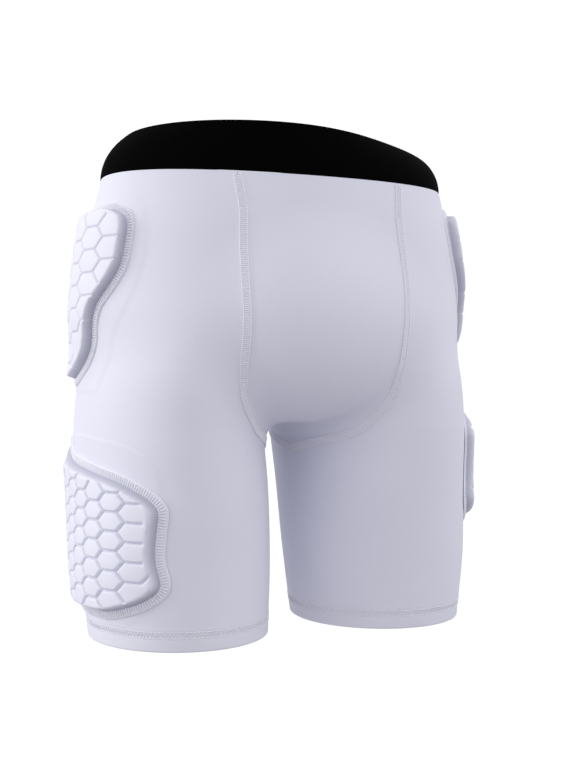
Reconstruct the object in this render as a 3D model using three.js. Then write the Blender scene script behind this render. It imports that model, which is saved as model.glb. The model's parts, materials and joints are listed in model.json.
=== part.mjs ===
import * as THREE from 'three';

// Padded compression shorts, held in the shape that they have when worn.
// Millimetres, +Z up. The front faces -Y and the wearer's right side is at -X.
// The origin is the centre of the waist opening, halfway up the waistband.

// Sizes of the garment
const BAND_HEIGHT = 41;      // elastic waistband, edge to edge
const BAND_WALL = 2.2;       // thickness of the elastic
const RISE = 198;            // waist seam down to the crotch
const INSEAM = 167;          // crotch down to the hem
const HIP_WIDTH = 344;       // across the hips, side to side
const HIP_DEPTH = 236;       // belly to seat at the hips
const THIGH_DEPTH = 200;     // front to back of one leg
const LEG_GAP = 40;          // between the legs at the hem
const CLOTH_WALL = 1.4;      // knitted cloth, one layer
const HEM_HEIGHT = 18;       // turned-up hem
const HEM_WALL = 2.2;        // the hem is two layers
const PROUD = 0.4;           // how far the waistband and hems stand out of the cloth
const GUSSET_DROP = 20;      // how far the front panel's gusset reaches below the crotch
const POUCH_DEPTH = 11;      // how far the pouch stands out of the belly
const POUCH_LEVEL = 0.57;    // height of its middle below the waist seam, as a share of the rise
const POUCH_WIDTH = 0.52;    // share of the hip width
const POUCH_HEIGHT = 0.80;   // share of the rise
const CROTCH_ROUND = 14;     // rounding where the legs meet
const HIP_ROUND = 26;        // rounding between trunk and thigh
const TRUNK_DIP = 4.3;       // how much higher the trunk's own bottom is than the crotch, before the rounding
const STRIDE = 6;            // how far the right leg stands ahead, and the left one behind, at the hem
const SIDE_RISE = 8;         // how much higher the waist seam runs at the sides than at the front
const RISE_FADE = 0.5;       // level where that difference has faded out
const LEG_TOP = 0.1;         // level above which the legs take no part in the shape
const SKEW_REACH = 1.2;      // how far past its half width a leg's front-to-back skew goes on
const BAND_LEAN = 12;        // how far the waistband's top turns in where it stands straightest, in degrees
const BAND_CURL = 66;        // the same where it curls most, a quarter of the way round
const BAND_TWIST = 20;       // how far from the front its straightest place lies, towards the right side

// Gaps between pieces that touch
const SEAM_GAP = 0.35;       // edge to edge along a seam
const LAYER_GAP = 0.7;       // under a pad that lies on the cloth

// Sizes of the pads
const FLANGE_WALL = 1.2;     // stitched-down rim of a pad
const FLANGE_WIDTH = 9;      // from the rim's edge to the foam
const FOAM_HEIGHT = 10;      // foam cells above the rim's underside
const GROOVE_DEPTH = 3.2;    // grooves between the cells
const GROOVE_SLOPE = 2.0;    // how far a cell's flank leans in

// Columns of cells are cellWidth apart. The first is cellShift of that ahead of the pad's middle,
// and the rows of cells start cellTop below its top.
const HIP_PAD = {
  width: 112, height: 145, cellWidth: 22.5, cellHeight: 17.6, cellShift: 0.13, cellTop: 3.3,
  // Edges of the rim from its top to its bottom, as shares of height and of width, positive to the front
  edges: [
    { down: 0.00, front: 0.34, rear: -0.20 },
    { down: 0.05, front: 0.50, rear: -0.38 },
    { down: 0.13, front: 0.555, rear: -0.44 },
    { down: 0.26, front: 0.555, rear: -0.47 },
    { down: 0.36, front: 0.515, rear: -0.48 },
    { down: 0.45, front: 0.425, rear: -0.48 },
    { down: 0.52, front: 0.32, rear: -0.48 },
    { down: 0.59, front: 0.235, rear: -0.48 },
    { down: 0.67, front: 0.215, rear: -0.47 },
    { down: 0.75, front: 0.19, rear: -0.46 },
    { down: 0.83, front: 0.13, rear: -0.44 },
    { down: 0.91, front: 0.01, rear: -0.40 },
    { down: 0.97, front: -0.13, rear: -0.34 },
    { down: 1.00, front: -0.21, rear: -0.28 },
  ],
};
const THIGH_PAD = {
  width: 140, height: 138, cellWidth: 17, cellHeight: 14.6, cellShift: 0.26, cellTop: 2.7,
  edges: [
    { down: 0.00, front: -0.40, rear: -0.46 },
    { down: 0.04, front: -0.33, rear: -0.52 },
    { down: 0.09, front: -0.20, rear: -0.55 },
    { down: 0.13, front: 0.04, rear: -0.555 },
    { down: 0.17, front: 0.25, rear: -0.555 },
    { down: 0.22, front: 0.38, rear: -0.555 },
    { down: 0.29, front: 0.47, rear: -0.555 },
    { down: 0.37, front: 0.52, rear: -0.55 },
    { down: 0.50, front: 0.51, rear: -0.545 },
    { down: 0.64, front: 0.51, rear: -0.54 },
    { down: 0.78, front: 0.545, rear: -0.54 },
    { down: 0.86, front: 0.51, rear: -0.53 },
    { down: 0.93, front: 0.42, rear: -0.49 },
    { down: 0.98, front: 0.29, rear: -0.42 },
    { down: 1.00, front: 0.20, rear: -0.36 },
  ],
};
// Where each pad sits: the turn of its middle from straight ahead, in degrees,
// and its top below the waist seam, as a share of the rise.
const PAD_PLACES = [
  { name: 'right_hip_pad', pad: HIP_PAD, side: -1, turn: 90, top: 0.10, onLeg: false },
  { name: 'left_hip_pad', pad: HIP_PAD, side: 1, turn: 89, top: 0.04, onLeg: false },
  { name: 'right_thigh_pad', pad: THIGH_PAD, side: -1, turn: 73, top: 1.04, onLeg: true },
  { name: 'left_thigh_pad', pad: THIGH_PAD, side: 1, turn: 100, top: 0.78, onLeg: true },
];

// Trunk sections by level below the waist seam, as a share of the rise.
// Widths are shares of half the hip width, depths of half the hip depth.
const TRUNK_SECTIONS = [
  { level: -0.10, width: 0.86, front: 0.86, back: 0.90 },
  { level: 0.00, width: 0.885, front: 0.89, back: 0.94 },
  { level: 0.10, width: 0.912, front: 0.92, back: 0.99 },
  { level: 0.22, width: 0.94, front: 0.95, back: 1.05 },
  { level: 0.36, width: 0.96, front: 0.965, back: 1.11 },
  { level: 0.50, width: 0.965, front: 0.96, back: 1.13 },
  { level: 1.00, width: 0.94, front: 0.90, back: 1.02 },
];
const TRUNK_FLOOR = 0.50;    // share of the rise over which the trunk rounds off into the crotch

// Leg sections by level below the crotch, as a share of the inseam.
// Inner sides are shares of half the leg gap and outer sides of half the hip width. The front, the back
// and the widest places of the outer and inner sides are shares of half the thigh depth, from the body's middle.
const LEG_SECTIONS = [
  { level: -1.00, inner: 1.20, outer: 0.72, front: 0.66, back: 0.74, outerWidest: 0.10, innerWidest: 0.20 },
  { level: -0.60, inner: 0.90, outer: 0.87, front: 0.90, back: 0.98, outerWidest: 0.13, innerWidest: 0.26 },
  { level: -0.30, inner: 0.78, outer: 0.955, front: 0.99, back: 1.10, outerWidest: 0.13, innerWidest: 0.30 },
  { level: 0.00, inner: 0.70, outer: 0.99, front: 1.00, back: 1.10, outerWidest: 0.13, innerWidest: 0.28 },
  { level: 0.30, inner: 0.70, outer: 0.985, front: 0.98, back: 1.00, outerWidest: 0.03, innerWidest: 0.10 },
  { level: 0.65, inner: 0.78, outer: 0.985, front: 0.94, back: 0.86, outerWidest: -0.08, innerWidest: -0.03 },
  { level: 1.00, inner: 1.00, outer: 0.96, front: 0.89, back: 0.72, outerWidest: -0.11, innerWidest: -0.11 },
];

// Edges of one leg panel, by level as a share of the rise: how far its front edge and the gusset's
// back edge turn from straight ahead and straight back towards the other leg, in degrees.
const FRONT_SEAM = [
  { level: 0.00, turn: 2.5 },
  { level: 0.40, turn: 6.5 },
  { level: 0.65, turn: 10.5 },
  { level: 0.78, turn: 13 },
  { level: 0.88, turn: 17 },
  { level: 0.95, turn: 24 },
  { level: 1.03, turn: 40 },
];
const GUSSET_BACK_SEAM = [
  { level: 0.86, turn: 42 },
  { level: 0.96, turn: 43 },
  { level: 1.03, turn: 50 },
];
const GUSSET_TAIL = 0.86;    // level where the gusset ends at the centre back

// Facets
const SIDE_COLUMNS = 14;     // on the outer side of a leg panel
const INNER_COLUMNS = 5;     // between its outer side and each seam
const SIDE_FROM = 12;
const SIDE_TO = 180;
const TRUNK_ROWS = [0, 0.12, 0.26, 0.42, 0.56, 0.68, 0.78, 0.86, 0.93, 0.985, 1.025, 1.05, 1.075];
const PIVOT_LEVEL = 0.68;    // height about which the front panel's rows swing under the crotch
const LEG_ROWS = 4;
const PANEL_HALF_COLUMNS = 5;
const BAND_COLUMNS = 44;
const BAND_ROWS = 3;
const HEM_COLUMNS = 34;
const RIM_STEP = 9.5;        // between points of a pad's rim and of its foam outline
const OUTLINE_STEPS = 80;    // for reading a pad's outline from its table
const WELD = 0.05;           // corners of cells nearer than this are one

const WAIST_SEAM = -BAND_HEIGHT / 2;
const CROTCH = WAIST_SEAM - RISE;
const HEM = CROTCH - INSEAM;
const TIP_LEVEL = 1 + GUSSET_DROP / RISE;

const heightAt = (level) => WAIST_SEAM - level * RISE;
const radians = (degrees) => degrees * Math.PI / 180;
const mix = (a, b, t) => a + (b - a) * t;

// A smooth value from one column of a table, read at a level between its rows.
function readTable(table, column, at, key = 'level') {
  const last = table.length - 1;
  if (at <= table[0][key]) return table[0][column];
  if (at >= table[last][key]) return table[last][column];
  let i = 0;
  while (at > table[i + 1][key]) i++;
  const slope = (j) => {
    const a = table[Math.max(j - 1, 0)];
    const b = table[Math.min(j + 1, last)];
    return (b[column] - a[column]) / (b[key] - a[key]);
  };
  const span = table[i + 1][key] - table[i][key];
  const t = (at - table[i][key]) / span;
  const t2 = t * t;
  const t3 = t2 * t;
  return (2 * t3 - 3 * t2 + 1) * table[i][column] + (t3 - 2 * t2 + t) * span * slope(i)
    + (3 * t2 - 2 * t3) * table[i + 1][column] + (t3 - t2) * span * slope(i + 1);
}

// Roughly how far a point is outside an ellipsoid with these half sizes; negative is inside.
function outsideEllipsoid(x, y, z, a, b, c) {
  const near = Math.hypot(x / a, y / b, z / c);
  const steep = Math.hypot(x / (a * a), y / (b * b), z / (c * c));
  return steep < 1e-9 ? -Math.min(a, b) : near * (near - 1) / steep;
}

// The smaller of two distances, rounded where they are alike.
function blend(a, b, round) {
  const near = Math.max(round - Math.abs(a - b), 0) / round;
  return Math.min(a, b) - near * near * round / 4;
}

function legSection(z) {
  const level = (CROTCH - z) / INSEAM;
  const inner = readTable(LEG_SECTIONS, 'inner', level) * LEG_GAP / 2;
  const outer = readTable(LEG_SECTIONS, 'outer', level) * HIP_WIDTH / 2;
  const outerWidest = readTable(LEG_SECTIONS, 'outerWidest', level) * THIGH_DEPTH / 2;
  const innerWidest = readTable(LEG_SECTIONS, 'innerWidest', level) * THIGH_DEPTH / 2;
  const widest = (outerWidest + innerWidest) / 2;
  return {
    x: (inner + outer) / 2,
    y: widest,
    skew: (outerWidest - innerWidest) / 2,
    ahead: STRIDE * Math.min(Math.max(level, 0), 1),
    width: (outer - inner) / 2,
    front: readTable(LEG_SECTIONS, 'front', level) * THIGH_DEPTH / 2 + widest,
    back: readTable(LEG_SECTIONS, 'back', level) * THIGH_DEPTH / 2 - widest,
  };
}

// How far a point is outside the worn shape of the cloth: two legs, the trunk and the pouch.
function outsideBody(x, y, z) {
  const level = (WAIST_SEAM - z) / RISE;
  const floor = Math.max(CROTCH + TRUNK_FLOOR * RISE - z, 0);
  const width = readTable(TRUNK_SECTIONS, 'width', level) * HIP_WIDTH / 2;
  const depth = readTable(TRUNK_SECTIONS, y < 0 ? 'front' : 'back', level) * HIP_DEPTH / 2;
  let trunk = outsideEllipsoid(x, y, floor, width, depth, TRUNK_FLOOR * RISE - TRUNK_DIP);
  const pouchFront = HIP_DEPTH / 2 + POUCH_DEPTH;
  const pouchZ = z - heightAt(POUCH_LEVEL);
  const pouch = outsideEllipsoid(x, y + pouchFront / 2, pouchZ, HIP_WIDTH * POUCH_WIDTH / 2, pouchFront / 2, RISE * POUCH_HEIGHT / 2);
  trunk = blend(trunk, pouch, HIP_ROUND);
  if (z > heightAt(LEG_TOP)) return trunk;
  const leg = legSection(z);
  const legAt = (side) => {
    const across = Math.min(Math.max((side * x - leg.x) / leg.width, -SKEW_REACH), SKEW_REACH);
    const behind = y - leg.y - leg.skew * across - side * leg.ahead;
    return outsideEllipsoid(x - side * leg.x, behind, 0, leg.width, behind < 0 ? leg.front : leg.back, 1);
  };
  const right = legAt(-1);
  const left = legAt(1);
  return blend(trunk, blend(right, left, CROTCH_ROUND), HIP_ROUND);
}

function normalAt(p) {
  const step = 0.5;
  return new THREE.Vector3(
    outsideBody(p.x + step, p.y, p.z) - outsideBody(p.x - step, p.y, p.z),
    outsideBody(p.x, p.y + step, p.z) - outsideBody(p.x, p.y - step, p.z),
    outsideBody(p.x, p.y, p.z + step) - outsideBody(p.x, p.y, p.z - step),
  ).normalize();
}

// The first point where a line from inside the body comes out of it.
function comeOut(from, direction) {
  const at = (reach) => from.clone().addScaledVector(direction, reach);
  const out = (reach) => {
    const p = at(reach);
    return outsideBody(p.x, p.y, p.z) > 0;
  };
  const stride = 3;
  let far = stride;
  while (!out(far) && far < 3 * HIP_WIDTH) far += stride;
  let near = far - stride;
  for (let i = 0; i < 30; i++) {
    const middle = (near + far) / 2;
    if (out(middle)) far = middle;
    else near = middle;
  }
  return at(far);
}

// Slides a point that is nearly on the body straight onto it.
function settle(p) {
  for (let i = 0; i < 12; i++) p.addScaledVector(normalAt(p), -outsideBody(p.x, p.y, p.z));
  return p;
}

// A point of the body seen from an axis at (x, 0), turned from straight ahead towards the given side.
function aroundAxis(axisX, z, turn, side) {
  const direction = new THREE.Vector3(side * Math.sin(radians(turn)), -Math.cos(radians(turn)), 0);
  return comeOut(new THREE.Vector3(side * axisX, 0, z), direction);
}

const turnFrom = (axisX, p, side) =>
  (Math.atan2(side * p.x - axisX, -p.y) * 180 / Math.PI + 360) % 360;

// The same kind of point at a level below the waist seam, which runs higher towards the sides.
function atLevel(axisX, level, turn, side, below = 0) {
  let p = aroundAxis(axisX, heightAt(level), turn, side);
  for (let i = 0; i < 2; i++) {
    const rise = SIDE_RISE * (2 * p.x / HIP_WIDTH) ** 2 * Math.max(1 - level / RISE_FADE, 0);
    p = aroundAxis(axisX, heightAt(level) + rise - below, turn, side);
  }
  return p;
}

// A closed solid between an outer and an inner skin. Triangles that a shared point leaves flat are dropped.
class Solid {
  constructor() {
    this.points = [];
  }

  triangle(a, b, c) {
    const same = 1e-3;
    if (a.distanceTo(b) < same || b.distanceTo(c) < same || c.distanceTo(a) < same) return;
    this.points.push(a, b, c);
  }

  quad(a, b, c, d) {
    this.triangle(a, b, c);
    this.triangle(a, c, d);
  }

  // A sheet given as rows of points on its outer face, with walls round its open edges.
  sheet(outer, inner, { loops = () => false, flip = false } = {}) {
    const put = flip ? (a, b, c, d) => this.quad(d, c, b, a) : (a, b, c, d) => this.quad(a, b, c, d);
    const rows = outer.length;
    for (let i = 0; i + 1 < rows; i++) {
      const last = outer[i].length - 1;
      for (let j = 0; j < last; j++) {
        put(outer[i][j], outer[i + 1][j], outer[i + 1][j + 1], outer[i][j + 1]);
        put(inner[i][j], inner[i][j + 1], inner[i + 1][j + 1], inner[i + 1][j]);
      }
      if (loops(i)) continue;
      put(outer[i][0], inner[i][0], inner[i + 1][0], outer[i + 1][0]);
      put(outer[i][last], outer[i + 1][last], inner[i + 1][last], inner[i][last]);
    }
    for (let j = 0; j + 1 < outer[0].length; j++) {
      put(outer[0][j], outer[0][j + 1], inner[0][j + 1], inner[0][j]);
      const end = rows - 1;
      put(outer[end][j], inner[end][j], inner[end][j + 1], outer[end][j + 1]);
    }
    return this;
  }

  mesh(name, material) {
    const geometry = new THREE.BufferGeometry().setFromPoints(this.points);
    geometry.computeVertexNormals();
    const mesh = new THREE.Mesh(geometry, material);
    mesh.name = name;
    return mesh;
  }
}

const offset = (p, distance) => p.clone().addScaledVector(normalAt(p), distance);
const skin = (rows, distance) => rows.map((row) => row.map((p) => offset(p, distance)));

// The turn, in degrees about the leg's axis, of a leg panel's front edge at a level.
function frontTurn(level) {
  const table = [...FRONT_SEAM, { level: TIP_LEVEL, turn: 90 }];
  return 360 - readTable(table, 'turn', level);
}

// The same for its back edge: the centre back, then the gusset's back edge.
function backTurn(level, axisX, side) {
  if (level <= GUSSET_TAIL) {
    const centre = comeOut(new THREE.Vector3(0, 0, heightAt(level)), new THREE.Vector3(0, 1, 0));
    centre.x = side * SEAM_GAP / 2;
    return turnFrom(axisX, centre, side);
  }
  const table = [...GUSSET_BACK_SEAM, { level: TIP_LEVEL, turn: 90 }];
  return 180 + readTable(table, 'turn', level);
}

const SEAM_LEVELS = [...TRUNK_ROWS, TIP_LEVEL];

// The turns of a leg panel's columns: fixed on the outer side, spread up to the seams on the inner side.
function columnTurns(from, to) {
  const turns = [];
  for (let j = 0; j < INNER_COLUMNS; j++) turns.push(mix(from, SIDE_FROM, j / INNER_COLUMNS));
  for (let j = 0; j < SIDE_COLUMNS; j++) turns.push(mix(SIDE_FROM, SIDE_TO, j / SIDE_COLUMNS));
  for (let j = 0; j <= INNER_COLUMNS; j++) turns.push(mix(SIDE_TO, to, j / INNER_COLUMNS));
  return turns;
}

// One leg panel: from the front seam round the hip to the centre back, and a whole tube below the gusset.
function legPanel(name, side, material) {
  const rows = SEAM_LEVELS.map((level, i) => {
    const axisX = legSection(heightAt(level)).x;
    const below = i ? 0 : SEAM_GAP;
    return columnTurns(frontTurn(level) - 360, backTurn(level, axisX, side))
      .map((turn) => atLevel(axisX, level, turn, side, below));
  });
  const tip = heightAt(TIP_LEVEL);
  const hemTop = HEM + HEM_HEIGHT + SEAM_GAP;
  for (let i = 1; i <= LEG_ROWS; i++) {
    const z = mix(tip, hemTop, i / LEG_ROWS);
    rows.push(columnTurns(-90, 270).map((turn) => aroundAxis(legSection(z).x, z, turn, side)));
  }
  const closed = (i) => i >= SEAM_LEVELS.length - 1;
  const solid = new Solid().sheet(rows, skin(rows, -CLOTH_WALL), { loops: closed, flip: side < 0 });
  return solid.mesh(name, material);
}

// Points of the seam between the front panel and one leg panel, from the waist down to the gusset's tip and back up.
function panelSeam(side) {
  const down = SEAM_LEVELS.map((level, i) =>
    atLevel(legSection(heightAt(level)).x, level, frontTurn(level), side, i ? 0 : SEAM_GAP));
  const up = SEAM_LEVELS.filter((level) => level >= GUSSET_TAIL && level < TIP_LEVEL).reverse().map((level) => {
    const z = heightAt(level);
    return aroundAxis(legSection(z).x, z, backTurn(level, legSection(z).x, side), side);
  });
  return [...down, ...up];
}

// The front panel with its pouch, which runs on between the legs as the gusset.
function frontPanel(name, material) {
  const seam = panelSeam(1);
  const pivot = new THREE.Vector3(0, 0, heightAt(PIVOT_LEVEL));
  const pivotRow = SEAM_LEVELS.indexOf(PIVOT_LEVEL);
  const tail = seam.at(-1);
  const tailTurn = Math.atan2(pivot.z - tail.z, -tail.y);
  const middles = seam.map((p, i) => {
    if (i <= pivotRow) return atLevel(0, SEAM_LEVELS[i], 0, 1, i ? 0 : SEAM_GAP);
    const turn = tailTurn * (i - pivotRow) / (seam.length - 1 - pivotRow);
    return comeOut(pivot, new THREE.Vector3(0, -Math.cos(turn), -Math.sin(turn)));
  });
  const rows = seam.map((edge, i) => {
    const middle = middles[i];
    const inset = SEAM_GAP / Math.max(edge.distanceTo(middle), SEAM_GAP);
    const half = [];
    for (let j = 0; j <= PANEL_HALF_COLUMNS; j++) {
      const t = j / PANEL_HALF_COLUMNS * (1 - Math.min(inset, 0.5));
      half.push(settle(new THREE.Vector3(edge.x * t, mix(middle.y, edge.y, t * t), mix(middle.z, edge.z, t * t))));
    }
    const mirrored = half.slice(1).reverse().map((p) => new THREE.Vector3(-p.x, p.y, p.z));
    return [...mirrored, ...half];
  });
  return new Solid().sheet(rows, skin(rows, -CLOTH_WALL)).mesh(name, material);
}

// The elastic waistband: a ring that stands on the waist seam and curls inwards towards its top edge.
function waistband(name, material) {
  const outer = [];
  const inner = [];
  for (let i = 0; i <= BAND_ROWS; i++) {
    const share = 1 - i / BAND_ROWS;
    const outerRow = [];
    const innerRow = [];
    for (let j = 0; j < BAND_COLUMNS; j++) {
      const turn = 360 * j / BAND_COLUMNS;
      const foot = atLevel(0, 0, turn, 1);
      const away = normalAt(foot).setZ(0).normalize();
      const curl = radians(mix(BAND_LEAN, BAND_CURL, Math.sin(radians(turn + BAND_TWIST)) ** 2));
      const lean = curl * share;
      const reach = BAND_HEIGHT / curl;
      const p = foot.clone().addScaledVector(away, -reach * (1 - Math.cos(lean)));
      p.z += reach * Math.sin(lean);
      const normal = away.clone().multiplyScalar(Math.cos(lean)).setZ(Math.sin(lean));
      outerRow.push(p.clone().addScaledVector(normal, PROUD));
      innerRow.push(p.clone().addScaledVector(normal, PROUD - BAND_WALL));
    }
    outerRow.push(outerRow[0].clone());
    innerRow.push(innerRow[0].clone());
    outer.push(outerRow);
    inner.push(innerRow);
  }
  return new Solid().sheet(outer, inner, { loops: () => true }).mesh(name, material);
}

// The turned-up hem of one leg.
function hem(name, side, material) {
  const rows = [HEM + HEM_HEIGHT, HEM].map((z) => {
    const row = [];
    for (let j = 0; j < HEM_COLUMNS; j++) row.push(aroundAxis(legSection(z).x, z, 360 * j / HEM_COLUMNS, side));
    return [...row, row[0].clone()];
  });
  const solid = new Solid().sheet(skin(rows, PROUD), skin(rows, PROUD - HEM_WALL), { loops: () => true, flip: side < 0 });
  return solid.mesh(name, material);
}

// The part of a polygon that lies inside a convex cell, both counter-clockwise.
function clip(polygon, cell) {
  let kept = polygon.map((p) => p.clone());
  for (let i = 0; i < cell.length && kept.length; i++) {
    const a = cell[i];
    const b = cell[(i + 1) % cell.length];
    const side = (p) => (b.x - a.x) * (p.y - a.y) - (b.y - a.y) * (p.x - a.x);
    const next = [];
    kept.forEach((p, k) => {
      const q = kept[(k + 1) % kept.length];
      const sp = side(p);
      const sq = side(q);
      if (sp >= 0) next.push(p);
      if ((sp > 0 && sq < 0) || (sp < 0 && sq > 0)) next.push(p.clone().lerp(q, sp / (sp - sq)));
    });
    kept = next;
  }
  kept.forEach((p) => p.set(Math.round(p.x * 100) / 100, Math.round(p.y * 100) / 100));
  return kept;
}

// The same loop with its points spread evenly.
function spread(loop, step) {
  const lengths = loop.map((p, i) => p.distanceTo(loop[(i + 1) % loop.length]));
  const whole = lengths.reduce((sum, length) => sum + length, 0);
  const count = Math.round(whole / step);
  const even = [];
  let i = 0;
  let passed = 0;
  for (let k = 0; k < count; k++) {
    const goal = whole * k / count;
    while (passed + lengths[i] < goal) passed += lengths[i++];
    even.push(loop[i].clone().lerp(loop[(i + 1) % loop.length], (goal - passed) / lengths[i]));
  }
  return even;
}

// A pad's outline as a counter-clockwise loop, x to the front and y up, from its table of edges.
function padOutline({ width, height, edges }) {
  const at = (column, down) => new THREE.Vector2(readTable(edges, column, down, 'down') * width, -down * height);
  const front = [];
  const rear = [];
  for (let i = 0; i <= OUTLINE_STEPS; i++) {
    rear.push(at('rear', i / OUTLINE_STEPS));
    front.push(at('front', i / OUTLINE_STEPS));
  }
  return spread([...rear, ...front.reverse()], RIM_STEP);
}

// The same loop moved inwards.
function inset(loop, distance) {
  return loop.map((p, i) => {
    const before = loop[(i + loop.length - 1) % loop.length];
    const after = loop[(i + 1) % loop.length];
    const along = after.clone().sub(before).normalize();
    return p.clone().add(new THREE.Vector2(-along.y, along.x).multiplyScalar(distance));
  });
}

// Triangles between a loop and another one inside it, taking the shorter way across each time.
function between(outer, inner) {
  const triangles = [];
  const nearer = (best, p, j) => (p.distanceTo(outer[0]) < inner[best].distanceTo(outer[0]) ? j : best);
  const start = inner.reduce(nearer, 0);
  let i = 0;
  let j = 0;
  while (i < outer.length || j < inner.length) {
    const a = outer[i % outer.length];
    const b = inner[(start + j) % inner.length];
    const nextA = outer[(i + 1) % outer.length];
    const nextB = inner[(start + j + 1) % inner.length];
    const alongOuter = i < outer.length && nextA.distanceTo(b) < nextB.distanceTo(a);
    if (alongOuter || j === inner.length) {
      triangles.push([a, nextA, b]);
      i++;
    } else {
      triangles.push([a, nextB, b]);
      j++;
    }
  }
  return triangles;
}

// The hexagons of a pad, flat side up, as pieces cut by the foam's outline. Corners that nearly meet are one.
function padCells(foam, { cellWidth, cellHeight, cellShift, cellTop, width, height }) {
  const cells = [];
  const corners = [];
  const weld = (p) => corners.find((q) => q.distanceTo(p) < WELD) ?? corners[corners.push(p) - 1];
  const columns = Math.ceil(width / cellWidth);
  const rows = Math.ceil(height / cellHeight) + 1;
  for (let i = -columns; i <= columns; i++) {
    for (let j = -1; j <= rows; j++) {
      const x = (i + cellShift) * cellWidth;
      const y = -(j + (i % 2 ? 0.5 : 0)) * cellHeight - cellTop;
      const hexagon = [[2, 0], [1, 0.5], [-1, 0.5], [-2, 0], [-1, -0.5], [1, -0.5]]
        .map(([u, v]) => new THREE.Vector2(x + u * cellWidth / 3, y + v * cellHeight));
      const welded = clip(foam, hexagon).map(weld);
      const piece = welded.filter((p, k) => p !== welded[(k + 1) % welded.length]);
      if (piece.length > 2) cells.push(piece);
    }
  }
  return cells;
}

// A pad: a thin stitched rim and foam cells that stand on it, laid on the cloth as one moulded solid.
function padOnCloth({ name, pad, side, turn, top, onLeg }, material) {
  const centreZ = heightAt(top) - pad.height / 2;
  const axisX = (z) => (onLeg ? legSection(z).x : 0);
  const middle = aroundAxis(axisX(centreZ), centreZ, turn, side);
  const radius = Math.hypot(side * middle.x - axisX(centreZ), middle.y);
  const place = (p, lift) => {
    const z = heightAt(top) + p.y;
    const angle = turn - p.x / radius * 180 / Math.PI;
    return offset(aroundAxis(axisX(z), z, angle, side), LAYER_GAP + lift);
  };
  const rim = padOutline(pad);
  const cells = padCells(spread(inset(rim, FLANGE_WIDTH), RIM_STEP), pad);

  // Edges that only one cell has make the foam's outline.
  const key = (p) => `${p.x.toFixed(2)},${p.y.toFixed(2)}`;
  const edges = new Map();
  for (const cell of cells) {
    cell.forEach((p, i) => {
      const q = cell[(i + 1) % cell.length];
      const back = `${key(q)} ${key(p)}`;
      if (edges.has(back)) edges.delete(back);
      else edges.set(`${key(p)} ${key(q)}`, [p, q]);
    });
  }
  const nextOf = new Map([...edges.values()].map(([p, q]) => [key(p), q]));
  const foot = [];
  let walker = [...edges.values()][0][0];
  for (let i = 0; i < nextOf.size; i++) {
    foot.push(walker);
    walker = nextOf.get(key(walker));
  }

  const solid = new Solid();
  const put = side > 0 ? (a, b, c) => solid.triangle(a, b, c) : (a, b, c) => solid.triangle(a, c, b);
  const wall = (loop, low, high) => loop.forEach((p, i) => {
    const q = loop[(i + 1) % loop.length];
    put(place(q, low), place(p, low), place(p, high));
    put(place(q, low), place(p, high), place(q, high));
  });
  for (const [a, b, c] of between(rim, foot)) {
    put(place(b, FLANGE_WALL), place(a, FLANGE_WALL), place(c, FLANGE_WALL));
    put(place(a, 0), place(b, 0), place(c, 0));
  }
  wall(rim, 0, FLANGE_WALL);
  wall(foot, FLANGE_WALL, FOAM_HEIGHT - GROOVE_DEPTH);
  for (const cell of cells) {
    const centre = cell.reduce((sum, p) => sum.add(p), new THREE.Vector2()).divideScalar(cell.length);
    const reach = cell.reduce((sum, p) => sum + p.distanceTo(centre), 0) / cell.length;
    const crown = cell.map((p) => p.clone().lerp(centre, Math.min(GROOVE_SLOPE / reach, 0.5)));
    cell.forEach((p, i) => {
      const j = (i + 1) % cell.length;
      put(place(cell[j], FOAM_HEIGHT - GROOVE_DEPTH), place(p, FOAM_HEIGHT - GROOVE_DEPTH), place(crown[i], FOAM_HEIGHT));
      put(place(cell[j], FOAM_HEIGHT - GROOVE_DEPTH), place(crown[i], FOAM_HEIGHT), place(crown[j], FOAM_HEIGHT));
      put(place(p, 0), place(cell[j], 0), place(centre, 0));
      if (!i || i + 1 === cell.length) return;
      put(place(crown[i], FOAM_HEIGHT), place(crown[0], FOAM_HEIGHT), place(crown[j], FOAM_HEIGHT));
    });
  }
  return solid.mesh(name, material);
}

const white = new THREE.MeshStandardMaterial({ color: 0xe9e9f2, roughness: 0.75, metalness: 0 });
const foamWhite = new THREE.MeshStandardMaterial({ color: 0xf1f1f8, roughness: 0.6, metalness: 0 });
const black = new THREE.MeshStandardMaterial({ color: 0x0b0b0d, roughness: 0.85, metalness: 0 });

const shorts = new THREE.Group();
shorts.add(waistband('waistband', black));
shorts.add(frontPanel('front_panel', white));
for (const [word, side] of [['right', -1], ['left', 1]]) {
  shorts.add(legPanel(`${word}_leg_panel`, side, white));
  shorts.add(hem(`${word}_hem`, side, white));
}
for (const place of PAD_PLACES) shorts.add(padOnCloth(place, foamWhite));

export default shorts;
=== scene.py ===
# %% [markdown]
# # White padded compression shorts
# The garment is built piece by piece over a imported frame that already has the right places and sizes.
# Each piece of the frame has a finer twin here: knitted cloth, a black elastic, foam pads and stitches.
# Everything is worked out in millimetres, as a cutter would, and put into Blender in metres.

# %% Load the frame and keep its size
import json
import math
from collections import Counter

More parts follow.
